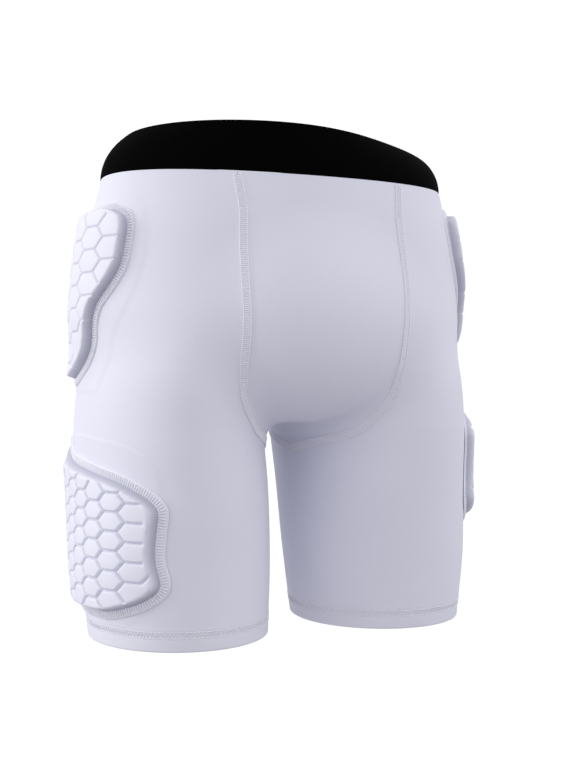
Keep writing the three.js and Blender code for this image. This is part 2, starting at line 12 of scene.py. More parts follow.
import bmesh
import bpy
import numpy as np
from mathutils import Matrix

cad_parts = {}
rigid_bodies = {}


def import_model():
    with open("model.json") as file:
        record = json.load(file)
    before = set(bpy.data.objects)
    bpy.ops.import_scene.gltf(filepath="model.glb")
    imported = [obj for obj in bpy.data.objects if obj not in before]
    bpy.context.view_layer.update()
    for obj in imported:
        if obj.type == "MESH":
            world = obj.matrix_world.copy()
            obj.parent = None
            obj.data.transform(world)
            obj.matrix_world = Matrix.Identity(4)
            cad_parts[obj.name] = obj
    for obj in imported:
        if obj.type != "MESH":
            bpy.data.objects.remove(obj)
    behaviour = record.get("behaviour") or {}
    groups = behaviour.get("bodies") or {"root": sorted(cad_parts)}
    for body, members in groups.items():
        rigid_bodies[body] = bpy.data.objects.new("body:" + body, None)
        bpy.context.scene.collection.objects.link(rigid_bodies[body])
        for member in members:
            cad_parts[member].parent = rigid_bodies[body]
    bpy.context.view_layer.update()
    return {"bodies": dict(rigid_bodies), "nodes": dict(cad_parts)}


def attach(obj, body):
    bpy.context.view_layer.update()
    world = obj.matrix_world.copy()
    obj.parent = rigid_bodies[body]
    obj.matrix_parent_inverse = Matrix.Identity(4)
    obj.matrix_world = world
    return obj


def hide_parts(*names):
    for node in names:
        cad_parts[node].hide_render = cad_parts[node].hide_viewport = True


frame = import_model()
scene = bpy.context.scene
print("frame nodes:", sorted(frame["nodes"]))

# %% [markdown]
# ## The camera
# The shorts are seen a little from their right, with the eye level with the crotch. A long lens keeps
# the sides nearly parallel. The camera is placed from its distance to the middle of the body, so the
# numbers can be read as a photographer would say them.

# %% Place the camera
CAMERA_TURN = math.radians(23)
CAMERA_DISTANCE = 0.975
CAMERA_SLIDE = 0.0113
EYE_HEIGHT = -0.183
FOCAL_PIXELS = 1125
FRAME_HEIGHT_PIXELS = 768

camera = bpy.data.objects.new("camera", bpy.data.cameras.new("camera"))
scene.collection.objects.link(camera)
scene.camera = camera
camera.data.sensor_width = 36
camera.data.lens = FOCAL_PIXELS / FRAME_HEIGHT_PIXELS * camera.data.sensor_width
ahead = np.array([math.sin(CAMERA_TURN), math.cos(CAMERA_TURN)])
aside = np.array([ahead[1], -ahead[0]])
spot = -CAMERA_DISTANCE * ahead + CAMERA_SLIDE * aside
camera.location = (spot[0], spot[1], EYE_HEIGHT)
camera.rotation_euler = (math.pi / 2, 0, -CAMERA_TURN)
print("camera at", [round(value, 3) for value in camera.location])

# %% [markdown]
# ## The worn shape
# Tight knitted cloth takes the shape of what it covers, so one smooth form carries every piece: a
# trunk, a pouch and two legs, blended where they meet. A modeller could sculpt it, but a formula keeps
# each piece exactly on it. The formula says roughly how far a point is outside the form.

# %% Sizes of the garment, in millimetres
# The pouch's level, width and height are shares of the rise and of the hips' width, and a rounding says
# how widely two forms blend. The elastic stands proud of the cloth, a seam gap parts two pieces of cloth
# that meet, and a layer gap lies between the form and a pad, where the cloth and its facing are.
BAND_HEIGHT, BAND_WALL = 41.0, 2.2
RISE, INSEAM = 198.0, 167.0
HIP_WIDTH, HIP_DEPTH = 344.0, 236.0
THIGH_DEPTH, LEG_GAP = 200.0, 40.0
CLOTH_WALL, HEM_WALL, HEM_HEIGHT, PROUD = 1.4, 2.2, 18.0, 0.4
POUCH_DEPTH, POUCH_LEVEL, POUCH_WIDTH, POUCH_HEIGHT = 11.0, 0.57, 0.52, 0.80
CROTCH_ROUND, HIP_ROUND, TRUNK_DIP, TRUNK_FLOOR = 14.0, 26.0, 4.3, 0.5
STRIDE, SIDE_RISE, RISE_FADE, LEG_TOP, SKEW_REACH = 6.0, 8.0, 0.5, 0.1, 1.2
GUSSET_DROP, SEAM_GAP, LAYER_GAP = 20.0, 0.35, 0.7
WAIST_SEAM = -BAND_HEIGHT / 2
CROTCH = WAIST_SEAM - RISE
HEM = CROTCH - INSEAM
TIP_LEVEL = 1 + GUSSET_DROP / RISE
print("crotch at", CROTCH, "mm and hem at", HEM, "mm from the waist's middle")

# %% Tables of the trunk and the leg
# The trunk's level is 0 at the waist seam and 1 at the crotch, and the leg's is 0 at the crotch and 1 at
# the hem. The trunk's columns are shares of the hips' half width and half depth. For the leg, inner is a
# share of half the gap between the legs, outer of the hips' half width, and the rest of the thigh's
# half depth. The widest places say how far back each side of the leg stands out most.
TRUNK = {
    "level": [-0.10, 0.00, 0.10, 0.22, 0.36, 0.50, 1.00],
    "width": [0.86, 0.885, 0.912, 0.94, 0.96, 0.965, 0.94],
    "front": [0.86, 0.89, 0.92, 0.95, 0.965, 0.96, 0.90],
    "back": [0.90, 0.94, 0.99, 1.05, 1.11, 1.13, 1.02],
}
LEG = {
    "level": [-1.00, -0.60, -0.30, 0.00, 0.30, 0.65, 1.00],
    "inner": [1.20, 0.90, 0.78, 0.70, 0.70, 0.78, 1.00],
    "outer": [0.72, 0.87, 0.955, 0.99, 0.985, 0.985, 0.96],
    "front": [0.66, 0.90, 0.99, 1.00, 0.98, 0.94, 0.89],
    "back": [0.74, 0.98, 1.10, 1.10, 1.00, 0.86, 0.72],
    "outer_widest": [0.10, 0.13, 0.13, 0.13, 0.03, -0.08, -0.11],
    "inner_widest": [0.20, 0.26, 0.30, 0.28, 0.10, -0.03, -0.11],
}


# %% Read a table smoothly
def read(table, column, at, key="level"):
    keys = np.array(table[key], float)
    values = np.array(table[column], float)
    last = len(keys) - 1
    before = np.maximum(np.arange(last + 1) - 1, 0)
    after = np.minimum(np.arange(last + 1) + 1, last)
    slope = (values[after] - values[before]) / (keys[after] - keys[before])
    at = np.clip(np.asarray(at, float), keys[0], keys[last])
    i = np.clip(np.searchsorted(keys, at) - 1, 0, last - 1)
    span = keys[i + 1] - keys[i]
    t = (at - keys[i]) / span
    start = (2 * t**3 - 3 * t**2 + 1) * values[i] + (t**3 - 2 * t**2 + t) * span * slope[i]
    end = (3 * t**2 - 2 * t**3) * values[i + 1] + (t**3 - t**2) * span * slope[i + 1]
    return start + end


print("half width at the hips, as a share:", float(read(TRUNK, "width", 0.5)))


# %% Measure against one rounded form, and blend two
def outside_ellipsoid(x, y, z, a, b, c):
    near = np.sqrt((x / a) ** 2 + (y / b) ** 2 + (z / c) ** 2)
    steep = np.sqrt((x / a**2) ** 2 + (y / b**2) ** 2 + (z / c**2) ** 2)
    return np.where(steep < 1e-9, -np.minimum(a, b), near * (near - 1) / np.maximum(steep, 1e-9))


def blend(a, b, rounding):
    near = np.maximum(rounding - np.abs(a - b), 0) / rounding
    return np.minimum(a, b) - near * near * rounding / 4


# %% Where a level is, and how the leg is cut there
def height_at(level):
    return WAIST_SEAM - np.asarray(level, float) * RISE


def leg_section(z):
    level = (CROTCH - np.asarray(z, float)) / INSEAM
    inner = read(LEG, "inner", level) * LEG_GAP / 2
    outer = read(LEG, "outer", level) * HIP_WIDTH / 2
    outer_widest = read(LEG, "outer_widest", level) * THIGH_DEPTH / 2
    inner_widest = read(LEG, "inner_widest", level) * THIGH_DEPTH / 2
    widest = (outer_widest + inner_widest) / 2
    return {
        "x": (inner + outer) / 2,
        "y": widest,
        "skew": (outer_widest - inner_widest) / 2,
        "ahead": STRIDE * np.clip(level, 0, 1),
        "width": (outer - inner) / 2,
        "front": read(LEG, "front", level) * THIGH_DEPTH / 2 + widest,
        "back": read(LEG, "back", level) * THIGH_DEPTH / 2 - widest,
    }


print("leg at the crotch:", {key: round(float(value), 1) for key, value in leg_section(CROTCH).items()})


# %% Measure against the whole worn shape
def outside_body(points):
    x, y, z = points[..., 0], points[..., 1], points[..., 2]
    level = (WAIST_SEAM - z) / RISE
    floor = np.maximum(CROTCH + TRUNK_FLOOR * RISE - z, 0)
    width = read(TRUNK, "width", level) * HIP_WIDTH / 2
    depth = np.where(y < 0, read(TRUNK, "front", level), read(TRUNK, "back", level)) * HIP_DEPTH / 2
    trunk = outside_ellipsoid(x, y, floor, width, depth, TRUNK_FLOOR * RISE - TRUNK_DIP)
    reach = (HIP_DEPTH / 2 + POUCH_DEPTH) / 2
    pouch = outside_ellipsoid(
        x, y + reach, z - height_at(POUCH_LEVEL), HIP_WIDTH * POUCH_WIDTH / 2, reach, RISE * POUCH_HEIGHT / 2
    )
    trunk = blend(trunk, pouch, HIP_ROUND)
    leg = leg_section(z)
    legs = []
    for side in (-1, 1):
        across = np.clip((side * x - leg["x"]) / leg["width"], -SKEW_REACH, SKEW_REACH)
        behind = y - leg["y"] - leg["skew"] * across - side * leg["ahead"]
        half = np.where(behind < 0, leg["front"], leg["back"])
        legs.append(outside_ellipsoid(x - side * leg["x"], behind, 0, leg["width"], half, 1))
    whole = blend(trunk, blend(legs[0], legs[1], CROTCH_ROUND), HIP_ROUND)
    return np.where(z > height_at(LEG_TOP), trunk, whole)


print("outside at the waist's middle:", round(float(outside_body(np.zeros(3))), 1), "mm")

# %% Which way is outwards
SLOPE_STEP = 0.5


def normal_at(points):
    slope = np.empty_like(points)
    for axis in range(3):
        shift = np.zeros(3)
        shift[axis] = SLOPE_STEP
        slope[..., axis] = outside_body(points + shift) - outside_body(points - shift)
    return slope / np.linalg.norm(slope, axis=-1, keepdims=True)


def offset(points, distance):
    return points + normal_at(points) * np.asarray(distance)[..., None]


def eased(share):
    """A soft step from 0 to 1."""
    share = np.clip(share, 0, 1)
    return share * share * (3 - 2 * share)


# %% Find points of the form along lines that start inside it
SEARCH_STEP, HALVINGS, SETTLE_STEPS = 6.0, 14, 8


def come_out(start, direction):
    start, direction = np.broadcast_arrays(start, direction)
    far = np.full(start.shape[:-1], SEARCH_STEP)
    inside = np.ones(far.shape, bool)
    while inside.any() and far.max() < 3 * HIP_WIDTH:
        inside[inside] = outside_body(start[inside] + direction[inside] * far[inside][:, None]) <= 0
        far[inside] += SEARCH_STEP
    near = far - SEARCH_STEP
    for _ in range(HALVINGS):
        middle = (near + far) / 2
        out = outside_body(start + direction * middle[..., None]) > 0
        far = np.where(out, middle, far)
        near = np.where(out, near, middle)
    return start + direction * far[..., None]


def around_axis(axis_x, z, turn, side):
    axis_x, z, turn = np.broadcast_arrays(axis_x, z, np.radians(turn))
    start = np.stack([side * axis_x, np.zeros(z.shape), z], -1).astype(float)
    direction = np.stack([side * np.sin(turn), -np.cos(turn), np.zeros(z.shape)], -1)
    return come_out(start, direction)


def at_level(axis_x, level, turn, side, below=0.0):
    points = around_axis(axis_x, height_at(level), turn, side)
    for _ in range(2):
        fade = np.maximum(1 - np.asarray(level) / RISE_FADE, 0)
        rise = SIDE_RISE * (2 * points[..., 0] / HIP_WIDTH) ** 2 * fade
        points = around_axis(axis_x, height_at(level) + rise - below, turn, side)
    return points


def settle(points):
    for _ in range(SETTLE_STEPS):
        points = points - normal_at(points) * outside_body(points)[..., None]
    return points


side_point = around_axis(0.0, height_at(0.5), 90.0, 1)
print("half width halfway down the rise:", round(float(side_point[0]), 1), "mm")

# %% [markdown]
# ## From rows of points to a piece
# Cloth is made here as a grid of points on its outer face, a second grid one wall further in, and
# narrow strips that close the edges. That gives an even wall, as real cloth has. Each piece also gets
# a flat map in millimetres, so that knit, ribs and weave are drawn at their real size.

# %% Turn points into an object
def make_object(name, points, faces, flat=None):
    mesh = bpy.data.meshes.new(name)
    faces = [[int(corner) for corner in face] for face in faces]
    mesh.from_pydata((np.asarray(points) / 1000).tolist(), [], faces)
    if flat is not None:
        layer = mesh.uv_layers.new(name="flat")
        corners = np.empty(len(mesh.loops), np.int32)
        mesh.loops.foreach_get("vertex_index", corners)
        layer.data.foreach_set("uv", np.asarray(flat, np.float32)[corners].ravel())
    piece = bpy.data.objects.new(name, mesh)
    scene.collection.objects.link(piece)
    return piece


# %% Close a piece
CRISP_EDGE = math.radians(55)    # an edge that bends more than this isn't shaded smooth


def close_up(piece, merge=2e-6):
    """Join points that meet, turn every face outwards and shade the piece smooth. Distances in metres."""
    shell = bmesh.new()
    shell.from_mesh(piece.data)
    bmesh.ops.remove_doubles(shell, verts=shell.verts, dist=merge)
    bmesh.ops.dissolve_degenerate(shell, edges=shell.edges, dist=1e-7)
    bmesh.ops.recalc_face_normals(shell, faces=shell.faces)
    if shell.calc_volume(signed=True) < 0:
        bmesh.ops.reverse_faces(shell, faces=shell.faces)
    for face in shell.faces:
        face.smooth = True
    shell.to_mesh(piece.data)
    shell.free()
    piece.data.set_sharp_from_angle(angle=CRISP_EDGE)
    return piece


# %% Give cloth its two faces
def two_skins(name, outer, inner, flat, closed=None):
    """A sheet from grids of its outer and inner face. Rows that close into a ring need no side strips."""
    rows, columns = outer.shape[:2]
    count = rows * columns
    index = np.arange(count).reshape(rows, columns)
    a, b, c, d = index[:-1, :-1], index[1:, :-1], index[1:, 1:], index[:-1, 1:]
    front = np.stack([a, b, c, d], -1).reshape(-1, 4)
    faces = [front, front[:, ::-1] + count]
    top, bottom = index[0], index[-1]
    faces.append(np.stack([top[:-1], top[1:], top[1:] + count, top[:-1] + count], -1))
    faces.append(np.stack([bottom[:-1], bottom[:-1] + count, bottom[1:] + count, bottom[1:]], -1))
    open_rows = np.arange(rows - 1) if closed is None else np.flatnonzero(~closed[:-1])
    for column in (index[:, 0], index[:, -1]):
        upper, lower = column[open_rows], column[open_rows + 1]
        if len(upper):
            faces.append(np.stack([upper, upper + count, lower + count, lower], -1))
    points = np.concatenate([outer.reshape(-1, 3), inner.reshape(-1, 3)])
    maps = np.concatenate([flat.reshape(-1, 2), flat.reshape(-1, 2)])
    return close_up(make_object(name, points, np.concatenate(faces), maps))


def flat_map(rows):
    along = np.linalg.norm(np.diff(rows, axis=1), axis=-1)
    along = np.concatenate([np.zeros((len(rows), 1)), np.cumsum(along, 1)], 1)
    along -= along[:, -1:] / 2
    down = np.linalg.norm(np.diff(rows, axis=0), axis=-1).mean(1)
    down = np.concatenate([[0], np.cumsum(down)])
    return np.stack([along, np.broadcast_to(down[:, None], along.shape)], -1)


# %% [markdown]
# ## Where the seams run
# Two seams come down the front, curve round the pouch and meet a gusset between the legs. Their
# paths are tables of angles about the legs' middles. The cloth on both sides of a seam is built from
# the same points, with a hair's breadth between, as two pieces of knit lie edge to edge.

# %% Seam paths
FRONT_SEAM = {
    "level": [0.00, 0.40, 0.65, 0.78, 0.88, 0.95, 1.03, TIP_LEVEL],
    "turn": [2.5, 6.5, 10.5, 13, 17, 24, 40, 90],
}
GUSSET_BACK_SEAM = {"level": [0.86, 0.96, 1.03, TIP_LEVEL], "turn": [42, 43, 50, 90]}
GUSSET_TAIL = 0.86
DOWN_LEVELS = [0, 0.12, 0.26, 0.42, 0.56, 0.68, 0.78, 0.86, 0.93, 0.985, 1.025, 1.05, 1.075, TIP_LEVEL]
UP_LEVELS = [TIP_LEVEL, 1.075, 1.05, 1.025, 0.985, 0.93, GUSSET_TAIL]
PIVOT_LEVEL = 0.68
ROW_STEPS = 7


def front_turn(level):
    return -read(FRONT_SEAM, "turn", level)


def back_turn(level, axis_x, side):
    level, axis_x = np.asarray(level, float), np.asarray(axis_x, float)
    start = np.stack([np.zeros(level.shape), np.zeros(level.shape), height_at(level)], -1)
    centre = come_out(start, np.array([0.0, 1.0, 0.0]))
    middle = np.degrees(np.arctan2(SEAM_GAP / 2 - axis_x, -centre[..., 1])) % 360
    return np.where(level <= GUSSET_TAIL, middle, 180 + read(GUSSET_BACK_SEAM, "turn", level))


def between_rows(values):
    places = np.linspace(0, len(values) - 1, (len(values) - 1) * ROW_STEPS + 1)
    return np.interp(places, np.arange(len(values)), values)


def row_drop(rows):
    """The first row starts a little below the elastic."""
    return np.where(np.arange(rows) == 0, SEAM_GAP, 0.0)


print("gusset tip", round(float(height_at(TIP_LEVEL)), 1), "mm below the waist's middle")

# %% [markdown]
# ## Layer under the pads
# Round each pad the cloth is double: a facing sewn inside carries the foam, and its edge shows as a
# faint step. It could be a bump in the material, but a real step catches the light from any side, so
# the cloth is lifted by half a millimetre inside the facing's outline.

# %% Pads: their sizes and outlines
# An outline gives its front and rear edges as shares of the width, at shares of the height down. The
# cells' pattern starts "cell_top" below the top edge and "cell_shift" columns ahead of the middle.
# "flange" is the width of the rim and "slant" that of the foam's wall. Near the spot "ease_at" the wall
# is "ease_times" as wide, as the foam runs out softly there. "ladder" is how long the rim's stitches are.
HIP_PAD = {
    "width": 112.0, "height": 145.0,
    "cell_width": 22.5, "cell_height": 17.6, "cell_shift": 0.13, "cell_top": 3.3,
    "groove_depth": 1.0, "groove_half": 1.4, "flange": 6.0, "slant": 1.4, "ladder": 5.2,
    "ease_at": (-30, 0), "ease_reach": 14, "ease_times": 1,
    "down": [0, 0.05, 0.13, 0.26, 0.36, 0.45, 0.52, 0.59, 0.67, 0.75, 0.83, 0.91, 0.97, 1],
    "front": [0.34, 0.50, 0.56, 0.56, 0.54, 0.47, 0.385, 0.295, 0.25, 0.225, 0.165, 0.04, -0.11, -0.21],
    "rear": [-0.20, -0.38, -0.44, -0.47, -0.48, -0.48, -0.48, -0.48, -0.47, -0.46, -0.44, -0.40, -0.34,
             -0.28],
}
THIGH_PAD = {
    "width": 140.0, "height": 138.0,
    "cell_width": 17.0, "cell_height": 14.6, "cell_shift": 0.26, "cell_top": 2.7,
    "groove_depth": 2.2, "groove_half": 1.7, "flange": 6.6, "slant": 3.4, "ladder": 5.6,
    "ease_at": (-64, -18), "ease_reach": 14, "ease_times": 3,
    "down": [0, 0.04, 0.09, 0.13, 0.17, 0.22, 0.29, 0.37, 0.50, 0.64, 0.78, 0.86, 0.93, 0.98, 1],
    "front": [-0.46, -0.415, -0.24, 0.03, 0.25, 0.38, 0.485, 0.535, 0.53, 0.525, 0.55, 0.515, 0.42,
              0.29, 0.20],
    "rear": [-0.50, -0.537, -0.553, -0.555, -0.555, -0.555, -0.555, -0.55, -0.545, -0.54, -0.54, -0.53,
             -0.49, -0.42, -0.36],
}
print("pads:", [(pad["width"], pad["height"]) for pad in (HIP_PAD, THIGH_PAD)], "mm")

# %% Pads: their facings and places
# A facing is given in the pad's own flat millimetres: x to the front and y up from the pad's top edge.
HIP_FACING = {
    "y": [-150, -121, -103, -86, -66, -45, -28, -9, 6, 18],
    "front": [28, 45, 49, 61, 72, 77, 76, 72, 58, 20],
    "rear": [-66, -68, -70, -70, -70, -70, -69, -65, -52, -10],
}
THIGH_FACING = {
    "y": [-146, -120, -60, -40, -30, -18, -11, -5, -1, 2, 4],
    "front": [40, 74, 74, 72, 71, 68, 61, 49, 31, -3, -54],
    "rear": [-70, -84, -84, -84, -84, -83, -82, -80, -78, -74, -60],
}
FACING_LIFT, FACING_EDGE = 0.5, 2.2


def placed(pad, facing, side, turn, top, leg):
    """A pad at degrees from straight ahead, with its top edge at a level, round the trunk or one leg."""
    return {"pad": pad, "facing": facing, "side": side, "turn": turn, "top": top, "leg": leg}


PADS = {
    "right_hip_pad": placed(HIP_PAD, HIP_FACING, -1, turn=90, top=0.10, leg=False),
    "left_hip_pad": placed(HIP_PAD, HIP_FACING, 1, turn=89, top=0.04, leg=False),
    "right_thigh_pad": placed(THIGH_PAD, THIGH_FACING, -1, turn=73, top=1.04, leg=True),
    "left_thigh_pad": placed(THIGH_PAD, THIGH_FACING, 1, turn=100, top=0.78, leg=True),
}


def pad_axis(place, z):
    return leg_section(z)["x"] if place["leg"] else np.zeros(np.shape(z))


for node, place in PADS.items():
    middle_z = height_at(place["top"]) - place["pad"]["height"] / 2
    axis = float(pad_axis(place, middle_z))
    middle = around_axis(axis, middle_z, place["turn"], place["side"])
    place["radius"] = math.hypot(place["side"] * middle[0] - axis, middle[1])
    print(node, "bends to a radius of", round(place["radius"], 1), "mm")


# %% From flat to worn, and the step of the facing
def on_pad(place, flat):
    """Points of the cloth under a pad's own flat coordinates: x to the front, y up from its top edge."""
    z = height_at(place["top"]) + flat[..., 1]
    angle = place["turn"] - np.degrees(flat[..., 0] / place["radius"])
    return around_axis(pad_axis(place, z), z, angle, place["side"])


def facing_lift(points, side):
    """How far the facings under one side's pads lift the cloth."""
    lift = np.zeros(points.shape[:-1])
    for place in PADS.values():
        if place["side"] != side:
            continue
        facing = place["facing"]
        y = points[..., 2] - height_at(place["top"])
        out = side * points[..., 0] - pad_axis(place, points[..., 2])
        turn = np.degrees(np.arctan2(out, -points[..., 1]))
        x = np.radians(place["turn"] - turn) * place["radius"]
        inner = np.minimum(
            np.interp(y, facing["y"], facing["front"]) - x, x - np.interp(y, facing["y"], facing["rear"])
        )
        inner = np.minimum(inner, np.minimum(facing["y"][-1] - y, y - facing["y"][0]))
        lift = np.maximum(lift, eased(inner / FACING_EDGE) * FACING_LIFT)
    return lift


# %% [markdown]
# ## The cloth of the two sides
# One piece of knit covers each side, from the front seam round the hip to the centre back, and turns
# into a tube below the crotch. It is drawn by sweeping rays out from the leg's middle, because such
# rays meet the form squarely and the grid stays even.

# %% Side panels
LEG_ROWS = 54
FRONT_COLUMNS, SIDE_COLUMNS, BACK_COLUMNS = 24, 120, 24
SIDE_FROM, SIDE_TO = 12, 180
TUCKED = 0.5    # how far the cloth runs down into the hem


def column_turns(start, end):
    start, end = np.asarray(start)[:, None], np.asarray(end)[:, None]
    front = start + (SIDE_FROM - start) * np.arange(FRONT_COLUMNS) / FRONT_COLUMNS
    outer = SIDE_FROM + (SIDE_TO - SIDE_FROM) * np.arange(SIDE_COLUMNS) / SIDE_COLUMNS
    back = SIDE_TO + (end - SIDE_TO) * np.arange(BACK_COLUMNS + 1) / BACK_COLUMNS
    return np.concatenate([front, np.broadcast_to(outer, (len(start), SIDE_COLUMNS)), back], 1)


def side_panel(name, side):
    levels = between_rows(DOWN_LEVELS)
    axis_x = leg_section(height_at(levels))["x"]
    turns = column_turns(front_turn(levels), back_turn(levels, axis_x, side))
    upper = at_level(axis_x[:, None], levels[:, None], turns, side, row_drop(len(levels))[:, None])
    z = np.linspace(height_at(TIP_LEVEL), HEM + HEM_HEIGHT - TUCKED, LEG_ROWS + 1)[1:]
    turns = column_turns(np.full(LEG_ROWS, -90.0), np.full(LEG_ROWS, 270.0))
    lower = around_axis(leg_section(z)["x"][:, None], z[:, None], turns, side)
    rows = np.concatenate([upper, lower])
    closed = np.arange(len(rows)) >= len(levels) - 1
    inner = offset(rows, np.full(rows.shape[:2], -CLOTH_WALL))
    outer = offset(rows, facing_lift(rows, side))
    return two_skins(name, outer, inner, flat_map(rows), closed)


side_panels = {"right": side_panel("right_side_cloth", -1), "left": side_panel("left_side_cloth", 1)}
print("side panel faces:", len(side_panels["right"].data.polygons))

# %% [markdown]
# ## The front panel
# The front is one piece that cups forward over the pouch and narrows into the gusset between the
# legs. Its rows fan out about a point inside the belly, which turns them under the crotch smoothly.

# %% The seam that the front panel shares with a side
def seam_path(side):
    """The seam between the front panel and one side panel: down to the gusset's tip, and up its back."""
    down = between_rows(DOWN_LEVELS)
    up = between_rows(UP_LEVELS)
    axis_x = leg_section(height_at(down))["x"]
    first = at_level(axis_x, down, front_turn(down), side, row_drop(len(down)))
    up = up[1:]
    axis_x = leg_section(height_at(up))["x"]
    second = around_axis(axis_x, height_at(up), back_turn(up, axis_x, side), side)
    return np.concatenate([first, second])


print("points on a seam:", len(seam_path(1)))

# %% Front panel
PANEL_HALF_COLUMNS = 26
MOST_NARROWED = 0.5    # the largest share of a narrow row that the seam gap may take


def front_panel(name):
    seam = seam_path(1)
    pivot = np.array([0, 0, float(height_at(PIVOT_LEVEL))])
    rows_before = DOWN_LEVELS.index(PIVOT_LEVEL) * ROW_STEPS
    levels = between_rows(DOWN_LEVELS)
    tail = seam[-1]
    tail_turn = math.atan2(pivot[2] - tail[2], -tail[1])
    upper = at_level(0.0, levels[: rows_before + 1], 0.0, 1, row_drop(rows_before + 1))
    turns = tail_turn * np.arange(1, len(seam) - rows_before) / (len(seam) - 1 - rows_before)
    fan = np.stack([np.zeros(len(turns)), -np.cos(turns), -np.sin(turns)], -1)
    middles = np.concatenate([upper, come_out(np.broadcast_to(pivot, fan.shape), fan)])
    narrow = SEAM_GAP / np.maximum(np.linalg.norm(seam - middles, axis=1), SEAM_GAP)
    t = np.linspace(0, 1, PANEL_HALF_COLUMNS + 1) * (1 - np.minimum(narrow, MOST_NARROWED))[:, None]
    half = np.stack(
        [
            seam[:, None, 0] * t,
            middles[:, None, 1] + (seam - middles)[:, None, 1] * t * t,
            middles[:, None, 2] + (seam - middles)[:, None, 2] * t * t,
        ],
        -1,
    )
    half = settle(half)
    mirrored = half[:, :0:-1] * [-1, 1, 1]
    rows = np.concatenate([mirrored, half], 1)
    inner = offset(rows, np.full(rows.shape[:2], -CLOTH_WALL))
    return two_skins(name, rows, inner, flat_map(rows))


front = front_panel("front_cloth")
print("front panel faces:", len(front.data.polygons))

# %% [markdown]
# ## The elastic waistband
# A wide woven elastic closes the top. As worn here it stands straight at the right front and curls
# inwards at the left, so its lean changes round the waist. Its edges are slightly rounded, as woven
# elastic has no cut edge.

# %% Waistband
# Its lean in degrees where it stands and where it curls, and how far round the waist that is turned.
BAND_LEAN, BAND_CURL, BAND_TWIST = 12.0, 66.0, 20.0
BAND_ROWS, BAND_COLUMNS, BAND_COLUMN_MM = 26, 260, 3.2
BAND_EDGE, BAND_EDGE_LEAST = 1.1, 0.02


def fullness(share, least):
    """How full a wall is at a share of the way in from its rounded edge."""
    return np.sqrt(np.maximum(1 - (1 - share) ** 2, least))


def waistband(name):
    turn = np.linspace(0, 360, BAND_COLUMNS + 1)
    foot = at_level(0.0, 0.0, turn, 1)
    away = normal_at(foot)
    away[:, 2] = 0
    away /= np.linalg.norm(away, axis=1, keepdims=True)
    curl = np.radians(BAND_LEAN + (BAND_CURL - BAND_LEAN) * np.sin(np.radians(turn + BAND_TWIST)) ** 2)
    edge = BAND_EDGE * np.array([0, 0.15, 0.4, 0.7, 1.0])
    between = np.linspace(BAND_EDGE, BAND_HEIGHT - BAND_EDGE, BAND_ROWS)[1:-1]
    down = np.concatenate([edge, between, BAND_HEIGHT - edge[::-1]])
    share = (1 - down / BAND_HEIGHT)[:, None]
    lean = curl * share
    reach = BAND_HEIGHT / curl
    points = foot - away * (reach * (1 - np.cos(lean)))[..., None]
    points[..., 2] += reach * np.sin(lean)
    normal = away * np.cos(lean)[..., None]
    normal[..., 2] = np.sin(lean)
    near_edge = np.minimum(np.minimum(down, BAND_HEIGHT - down) / BAND_EDGE, 1)[:, None, None]
    half = BAND_WALL / 2 * fullness(near_edge, BAND_EDGE_LEAST)
    middle = PROUD - BAND_WALL / 2
    outer = points + normal * (middle + half)
    inner = points + normal * (middle - half)
    along = np.broadcast_to(BAND_COLUMN_MM * np.arange(1, len(turn) + 1), lean.shape)
    flat = np.stack([along, np.broadcast_to(down[:, None], lean.shape)], -1)
    return two_skins(name, outer, inner, flat, np.ones(len(down), bool))


elastic = waistband("elastic_waistband")
print("waistband faces:", len(elastic.data.polygons))

# %% [markdown]
# ## Hems
# Each leg ends in a turned-up hem of two layers, a little thicker than the cloth. A shallow channel
# runs round it where the coverstitch pulls the layers together.

# %% Hems
# The hem's face is nearly flush with the cloth above it. Only its bottom edge is rounded.
HEM_ROWS, HEM_COLUMNS = 22, 220
HEM_ROUND, HEM_EDGE_LEAST, HEM_PROUD = 1.2, 0.03, 0.08
STITCH_CHANNEL, CHANNEL_SLOPE, CHANNEL_DEPTH = (2.0, 8.0), 2.0, 0.35


def hem(name, side):
    edge = np.array([0, 0.3, 0.7])
    between = np.linspace(HEM_ROUND, HEM_HEIGHT - HEM_ROUND, HEM_ROWS)
    down = np.concatenate([edge, between, HEM_HEIGHT - edge[::-1]])
    z = HEM + HEM_HEIGHT - down
    turn = np.linspace(0, 360, HEM_COLUMNS + 1)[None, :]
    rows = around_axis(leg_section(z)["x"][:, None], z[:, None], turn, side)
    half = HEM_WALL / 2 * fullness(np.minimum((HEM_HEIGHT - down) / HEM_ROUND, 1), HEM_EDGE_LEAST)
    into = np.clip((down - STITCH_CHANNEL[0] + CHANNEL_SLOPE / 2) / CHANNEL_SLOPE, 0, 1)
    out_of = np.clip((STITCH_CHANNEL[1] + CHANNEL_SLOPE / 2 - down) / CHANNEL_SLOPE, 0, 1)
    middle = HEM_PROUD - HEM_WALL / 2
    face = middle + half - CHANNEL_DEPTH * into * out_of
    outer = offset(rows, np.broadcast_to(face[:, None], rows.shape[:2]))
    inner = offset(rows, np.broadcast_to((middle - half)[:, None], rows.shape[:2]))
    return two_skins(name, outer, inner, flat_map(rows), np.ones(len(down), bool))


hems = {"right": hem("right_hem_cloth", -1), "left": hem("left_hem_cloth", 1)}
print("hem faces:", len(hems["right"].data.polygons))

# %% [markdown]
# ## The foam pads
# Each pad is moulded foam under a skin of knit: hexagonal cells like pillows, with grooves between
# them where the pad bends, and a thin flat rim that is stitched to the shorts. Cells could be cut out
# of a block, but that leaves ragged edges. Here each cell is a polygon of its own, drawn flat, meshed
# in rings and then bent round the body, so the grooves fall on edges and stay crisp.

# %% Draw a pad's outline
OUTLINE_POINTS = 161
FINE_STEP = 1.4


